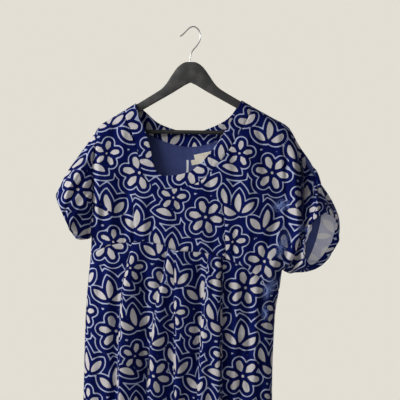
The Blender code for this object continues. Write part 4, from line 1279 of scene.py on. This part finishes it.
def hanger_finish(name, wear_and_sheen_colour, gloss):
    """Matte black paint, greyer in a random mottle that is partly rubbed wear and partly a painted sheen.
    """
    wear_and_sheen_mottle = (0.35, 0.75, 40.0, 5.0, 0.65)
    facts = {"grain": (900.0, 3.0), "gloss": gloss}
    return mottled_finish(name, (HANGER, wear_and_sheen_colour), wear_and_sheen_mottle, (0.40, 0.50), (0.15, 0.0003), **facts)


FINISHES = {
    "velvet": velvet_finish(),
    "wrong_side": wrong_side_finish(),
    "lining": lining_finish(),
    "label": mottled_finish(
        "cream label", (LABEL, LABEL_EDGE), (0.3, 0.7, 500.0, 3.0), (0.62, 0.75), (0.5, 0.0003),
        pitch=0.0010,
    ),
    "ribbon": mottled_finish(
        "white ribbon", (RIBBON, RIBBON_GREY), (0.3, 0.7, 700.0), (0.35, 0.45), (0.3, 0.0002),
        pitch=0.0007,
    ),
    "hanger": hanger_finish("black hanger", HANGER_WEAR_AND_SHEEN, 0.95),
    "bar": hanger_finish("black bar", HANGER, 0.30),
    "steel": mottled_finish(
        "bright wire", (STEEL, STEEL_DARK), (0.3, 0.7, 600.0, 3.0), (0.36, 0.46), (0.08, 0.0001),
        grain=(1800.0,), metallic=1.0,
    ),
}


def stand_for(made, node):
    """Makes a piece stand for its node."""
    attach(made, "root")
    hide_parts(node)


def put_piece(node, cloth, start, thick, facing, kinds, rests_on=(), fields=None, **shape):
    """A piece of cloth. kinds are the finishes of its outer faces and of the ones turned in."""
    finishes = [FINISHES[kind] for kind in kinds]
    made, source = shell(node + "_cloth", cloth, start, thick, finishes, facing, **shape)
    uv = np.stack([cloth.u, cloth.v], -1)[source].reshape(-1, 2)
    kept = {name: values[source].ravel() for name, values in (fields or {}).items()}
    put_fields(made, uv, **kept)
    stand_for(made, node)


def printed(node, cloth, thick, facing, inside, **shape):
    """A printed piece, with its distance from the petals and its crushed nap, partly a painted sheen, kept
    at its points.
    """
    across, down = PRINT_SHIFTS[node]
    fields = {"petal": print_field(cloth.u + across, cloth.v + down), "nap": crushed_nap_sheen_field(cloth.grid)}
    put_piece(node, cloth, 0.0, thick, facing, ("velvet", inside), ["hanger_arms"], fields, **shape)


def part_of(cloth, rows, columns):
    return Cloth(*(values[rows, columns] for values in cloth))


FREE_HEM = {"bulges": (SQUARE, 1.0), "hem": HEM_EXTRA}
SEAMED = {"bulges": (SQUARE, SQUARE)}
EDGED = {"bulges": (1.0, SQUARE)}


def make_dress():
    bodices = {facing: bodice_cloth(facing) for facing in (FRONT, BACK)}
    body = ((FRONT, "front_"), (BACK, "back_"))
    for facing, name in body:
        printed(name + "bodice", bodices[facing], VELVET, facing, "lining", **SEAMED)
    for facing, name in body:
        printed(name + "neckband", band_cloth(facing), BAND_CLOTH, facing, "velvet", **EDGED)
    for facing, name in body:
        skirt = skirt_cloth(facing, bodices[facing])
        printed(name + "skirt", skirt, VELVET, facing, "wrong_side", **FREE_HEM)
    for side, name in ((LEFT, "left_sleeve"), (RIGHT, "right_sleeve")):
        sleeve = sleeve_cloth(side, bodices)
        printed(name, sleeve, VELVET, -side, "wrong_side", **FREE_HEM)
        lined = part_of(sleeve, slice(0, LINED_ROWS[side] + 1), slice(None))
        put_piece(name + "_lining", lined, VELVET + GAP, LINING_CLOTH, -side, ("lining", "lining"))
    make_back_lining(bodices[BACK])


def make_back_lining(back):
    """The lining of the back, under its neckband, within the box of its solid."""
    low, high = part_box("back_lining")
    middle = back.grid[:, back.grid.shape[1] // 2]
    top = back.grid[0]
    rows = np.count_nonzero(middle[:, 2] > low[2])
    columns = np.flatnonzero((top[:, 0] > low[0]) & (top[:, 0] < high[0]))
    shown = part_of(back, slice(0, rows), slice(columns[0], columns[-1] + 1))
    put_piece("back_lining", shown, VELVET + GAP, LINING_CLOTH, BACK, ("lining", "lining"))


# Label, size tab and hanging ribbon, which lie on the lining of the back
def on_lining(flat, stand_out):
    """Cloth that lies on the inner side of the back's lining, standing off it by these distances."""
    under = VELVET + GAP + LINING_CLOTH + GAP + LABEL_CLEARANCE
    grid = surface(flat, BACK, RIDGES[BACK])
    normals = outward(grid_normals(grid), BACK)
    grid = grid - THROUGH * (under + stand_out)[..., None]
    return grid, normals


def tilted_rectangle(middle, length, height, tilt, rows, columns):
    across = np.linspace(-length / 2, length / 2, columns)[None, :]
    down = np.linspace(height / 2, -height / 2, rows)[:, None]
    x = middle.x + across * math.cos(tilt) - down * math.sin(tilt)
    z = middle.z + across * math.sin(tilt) + down * math.cos(tilt)
    return np.stack([x, z], -1), across + 0 * down, down + 0 * across


def make_tag(node, middle, length, height, rows, columns, lift):
    """A small woven tag whose free edges lift a little from the lining."""
    flat, across, down = tilted_rectangle(middle, length, height, LABEL_TILT, rows, columns)
    edge = abs(down) / (height / 2)
    curl = lift * edge**2 * (1 - LIFT_UNEVEN + LIFT_UNEVEN * wobble(across / LIFT_LENGTH, 3))
    grid, normals = on_lining(flat, np.maximum(curl, 0))
    cloth = Cloth(grid, normals, across, down)
    put_piece(node, cloth, 0.0, RIBBON_CLOTH, BACK, ("label", "label"), ["back_lining"])


def make_tags():
    make_tag("label", LABEL_MIDDLE, LABEL_LENGTH, LABEL_HEIGHT, rows=24, columns=56, lift=LABEL_LIFT)
    along = -(LABEL_LENGTH + TAB_LENGTH) / 2 - GAP
    down = (TAB_HEIGHT - LABEL_HEIGHT) / 2
    x = LABEL_MIDDLE.x + along * math.cos(LABEL_TILT) - down * math.sin(LABEL_TILT)
    z = LABEL_MIDDLE.z + along * math.sin(LABEL_TILT) + down * math.cos(LABEL_TILT)
    make_tag("size_tab", Point(x, z), TAB_LENGTH, TAB_HEIGHT, rows=12, columns=12, lift=TAB_LIFT)


def make_ribbon():
    """A folded ribbon loop with a round top."""
    half = RIBBON_WIDTH / 2
    turns = np.linspace(0.08, 1.0, 10) * math.pi / 2
    straight = np.linspace(half, RIBBON_LENGTH, 61)[1:]
    reach = np.concatenate([half * np.sin(turns), np.full(len(straight), half)])
    below = np.concatenate([half * (1 - np.cos(turns)), straight])
    across = np.linspace(-1, 1, 9)[None, :] * reach[:, None]
    x = RIBBON_TOP.x + across + RIBBON_SWAY * wobble(below / RIBBON_SWAY_LENGTH, 2)[:, None]
    z = np.broadcast_to(RIBBON_TOP.z - below[:, None], x.shape)
    fold = RIBBON_CROWN * (1 - (across / half) ** 2)
    grid, normals = on_lining(np.stack([x, z], -1), fold)
    cloth = Cloth(grid, normals, across, np.broadcast_to(below[:, None], x.shape))
    put_piece("ribbon_loop", cloth, 0.0, RIBBON_CLOTH, BACK, ("ribbon", "ribbon"))


# Hanger
HANGER_MIDDLE = -0.0073
HANGER_TILT = math.radians(0.4)
HANGER_BOARD = 0.0120
HANGER_ROUND = 0.0035
HANGER_ROUND_SHARE = 0.6
ARM_TOP = in_metres(
    Point, (0, -795), (110, -802), (200, -842), (307, -935), (430, -1105), (536, -1268), (648, -1395),
    (806, -1503), (1147, -1708), (2000, -2216),
)
ARM_TIP_ROUND = in_metres(Point, (2060, -2262), (2090, -2315), (2100, -2370))
ARM_LOW = in_metres(
    Point, (0, -1265), (120, -1320), (400, -1492), (1147, -1912), (1830, -2300), (1836, -2495),
    (1880, -2520), (2040, -2510), (2090, -2470), (2100, -2430),
)
BAR_RADIUS = 0.0045
BAR_LEFT = Spot(-0.1893, 0.0, -0.2375)
BAR_RIGHT = Spot(0.1767, 0.0, -0.2428)
HOOK_WIRE = 0.0015
HOOK_ROUTE = in_metres(
    Point, (-73, -792), (-70, -680), (-30, -550), (71, -428), (142, -305), (158, -181), (124, -73),
    (66, -12), (0, 15), (-87, -12), (-174, -94), (-245, -165), (-305, -208),
)
BOARD_SPACING = 0.0022
CORNER_STEPS = 6
ROD_FINENESS = 12
HOOK_STEPS = 8


def board_section(x, top, low):
    """A rounded upright section of the hanger's board."""
    half = HANGER_BOARD / 2
    height = (top - low) / 2
    corner = min(HANGER_ROUND, height * HANGER_ROUND_SHARE)
    ring = []
    for quarter in range(4):
        centre_y = (half - corner) * (1 if quarter in (0, 3) else -1)
        centre_z = (height - corner) * (1 if quarter in (0, 1) else -1)
        for step in range(CORNER_STEPS + 1):
            angle = (quarter + step / CORNER_STEPS) * math.pi / 2
            ring.append((x, centre_y + corner * math.cos(angle), centre_z + corner * math.sin(angle)))
    return np.array(ring) + np.array([0.0, 0.0, (top + low) / 2])


def make_board():
    """Upright sections from the left tip over the middle to the right tip, tilted as it hangs."""
    top = smooth_curve(ARM_TOP)
    top = np.vstack([top, smooth_curve((ARM_TOP[-1], *ARM_TIP_ROUND))[1:]])
    low = np.array(ARM_LOW)
    even = np.arange(0, ARM_LOW[-1].x, BOARD_SPACING)
    reach = np.unique(np.concatenate([even, low[:, 0], np.array(ARM_TIP_ROUND)[:, 0]]).round(6))
    half = [(r, curve_value(r, top), curve_value(r, low)) for r in reach]
    sections = [(-r, t, b) for r, t, b in half[:0:-1]] + half
    points = tilted(np.array([board_section(*section) for section in sections]))
    count, around = points.shape[:2]
    number = np.arange(count * around).reshape(count, around)
    after = np.roll(number, -1, axis=1)
    quads = np.stack([number[:-1], after[:-1], after[1:], number[1:]], -1).reshape(-1, 4)
    caps = []
    for ring, turned in ((number[0], True), (number[-1], False)):
        for i in range(1, around - 1):
            face = (ring[0], ring[i], ring[i + 1])
            caps.append(face[::-1] if turned else face)
    second = np.zeros(len(quads) + len(caps))
    finishes = (FINISHES["hanger"],)
    made = put_mesh("hanger_board", points.reshape(-1, 3), quads, np.array(caps), finishes, second)
    stand_for(made, "hanger_arms")


def tilted(points):
    """Points of the hanger turned by its tilt about the top of its middle, and moved under the hook."""
    rise = ARM_TOP[0].z
    x = points[..., 0]
    z = points[..., 2] - rise
    turned_x = x * math.cos(HANGER_TILT) - z * math.sin(HANGER_TILT) + HANGER_MIDDLE
    turned_z = x * math.sin(HANGER_TILT) + z * math.cos(HANGER_TILT) + rise
    return np.stack([turned_x, points[..., 1], turned_z], -1)


def make_rod(name, node, route, radius, finish):
    curve = bpy.data.curves.new(name, "CURVE")
    curve.dimensions = "3D"
    curve.bevel_depth = radius
    curve.bevel_resolution = ROD_FINENESS
    curve.use_fill_caps = True
    spline = curve.splines.new("POLY")
    spline.points.add(len(route) - 1)
    for point, place in zip(spline.points, route):
        point.co = (*place, 1.0)
    spline.use_smooth = True
    curve.materials.append(FINISHES[finish])
    stand_for(put_object(name, curve), node)


def make_hanger():
    make_board()
    make_rod("trouser_bar", "hanger_bar", [BAR_LEFT, BAR_RIGHT], BAR_RADIUS, "bar")
    hook = smooth_curve(HOOK_ROUTE, HOOK_STEPS)
    make_rod("wire_hook", "hook", [(x, 0.0, z) for x, z in hook], HOOK_WIRE, "steel")


# Studio
FLOOR_HEIGHT = -1.30
FLOOR_RADIUS = 1.40
FLOOR_THICKNESS = 0.02
VIEW_MIDDLE = (0.0149, -0.3955)
VIEW_WIDTH = 0.916
VIEW_DISTANCE = 2.2
SENSOR = 36.0
WALL_LIGHT = (0.765, 0.735, 0.660)
ROOM_LIGHT = (0.95, 0.97, 1.0)
ROOM_STRENGTH = 0.16

# Width is across a round lamp, in metres, or the angle of a beam, in degrees
Lamp = namedtuple("Lamp", "name kind place aim width power colour")
CHEST = (0.0, 0.0, -0.45)
BEAM_COLOUR = (1.0, 0.99, 0.97)
BEAM_BLEND = 0.7
BEAM_SOURCE = 0.05
LAMPS = (
    Lamp("key", "AREA", (-2.1, -0.85, 0.4), CHEST, 0.6, 47.0, (1.0, 0.98, 0.95)),
    Lamp("window", "AREA", (-1.5, -2.3, 0.6), CHEST, 0.9, 18.0, (0.96, 0.98, 1.0)),
    Lamp("behind", "AREA", (2.0, 2.2, 0.6), CHEST, 1.2, 34.0, (0.98, 0.99, 1.0)),
    Lamp("cuff", "SPOT", (0.05, -1.7, -0.40), (0.295, -0.02, -0.49), 6.5, 26.0, BEAM_COLOUR),
    Lamp("neck", "SPOT", (0.0, -1.9, 0.20), (-0.008, 0.02, -0.304), 4.4, 42.0, BEAM_COLOUR),
)


def make_floor():
    bpy.ops.mesh.primitive_cylinder_add(
        vertices=96, radius=FLOOR_RADIUS, depth=FLOOR_THICKNESS, location=(0.0, 0.0, FLOOR_HEIGHT)
    )
    floor = bpy.context.object
    floor.name = "studio_floor"
    made = Finish("pale floor")
    made.set("Base Color", made.blended(made.mottle(0.3, 0.7, 3.0), FLOOR, FLOOR_GREY))
    made.set("Roughness", 0.8)
    floor.data.materials.append(made.material)


def make_lamp(lamp):
    """A round lamp or a narrow beam with a soft edge."""
    data = bpy.data.lights.new(lamp.name, lamp.kind)
    data.energy = lamp.power
    data.color = lamp.colour
    if lamp.kind == "AREA":
        data.shape = "DISK"
        data.size = lamp.width
    else:
        data.spot_size = math.radians(lamp.width)
        data.spot_blend = BEAM_BLEND
        data.shadow_soft_size = BEAM_SOURCE
    made = put_object(lamp.name, data)
    made.location = lamp.place
    x, y, z = np.array(lamp.aim) - np.array(lamp.place)
    made.rotation_euler = (math.atan2(math.hypot(x, y), -z), 0.0, math.atan2(y, x) - math.pi / 2)


def make_room():
    """Even light all round, and the pale wall's colour behind the dress for the camera alone."""
    world = bpy.data.worlds.new("studio")
    world.use_nodes = True
    bpy.context.scene.world = world
    tree = world.node_tree
    lit = tree.nodes["Background"]
    put(tree, ROOM_LIGHT, lit.inputs["Color"])
    put(tree, ROOM_STRENGTH, lit.inputs["Strength"])
    seen = add_node(tree, "Background", {"Color": WALL_LIGHT, "Strength": 1.0})
    direct = add_node(tree, "LightPath", {}).outputs["Is Camera Ray"]
    facts = {0: direct, 1: lit.outputs["Background"], 2: seen.outputs["Background"]}
    chosen = add_node(tree, "MixShader", facts).outputs["Shader"]
    put(tree, chosen, tree.nodes["World Output"].inputs["Surface"])


def make_camera():
    data = bpy.data.cameras.new("camera")
    data.sensor_width = SENSOR
    data.lens = SENSOR * VIEW_DISTANCE / VIEW_WIDTH
    camera = put_object("camera", data)
    camera.location = (VIEW_MIDDLE[0], -VIEW_DISTANCE, VIEW_MIDDLE[1])
    camera.rotation_euler = (math.pi / 2, 0.0, 0.0)
    bpy.context.scene.camera = camera


make_dress()
make_tags()
make_ribbon()
make_hanger()
make_floor()
make_room()
for lamp in LAMPS:
    make_lamp(lamp)
make_camera()
bpy.context.scene.view_settings.view_transform = "Standard"
bpy.context.scene.view_settings.look = "None"
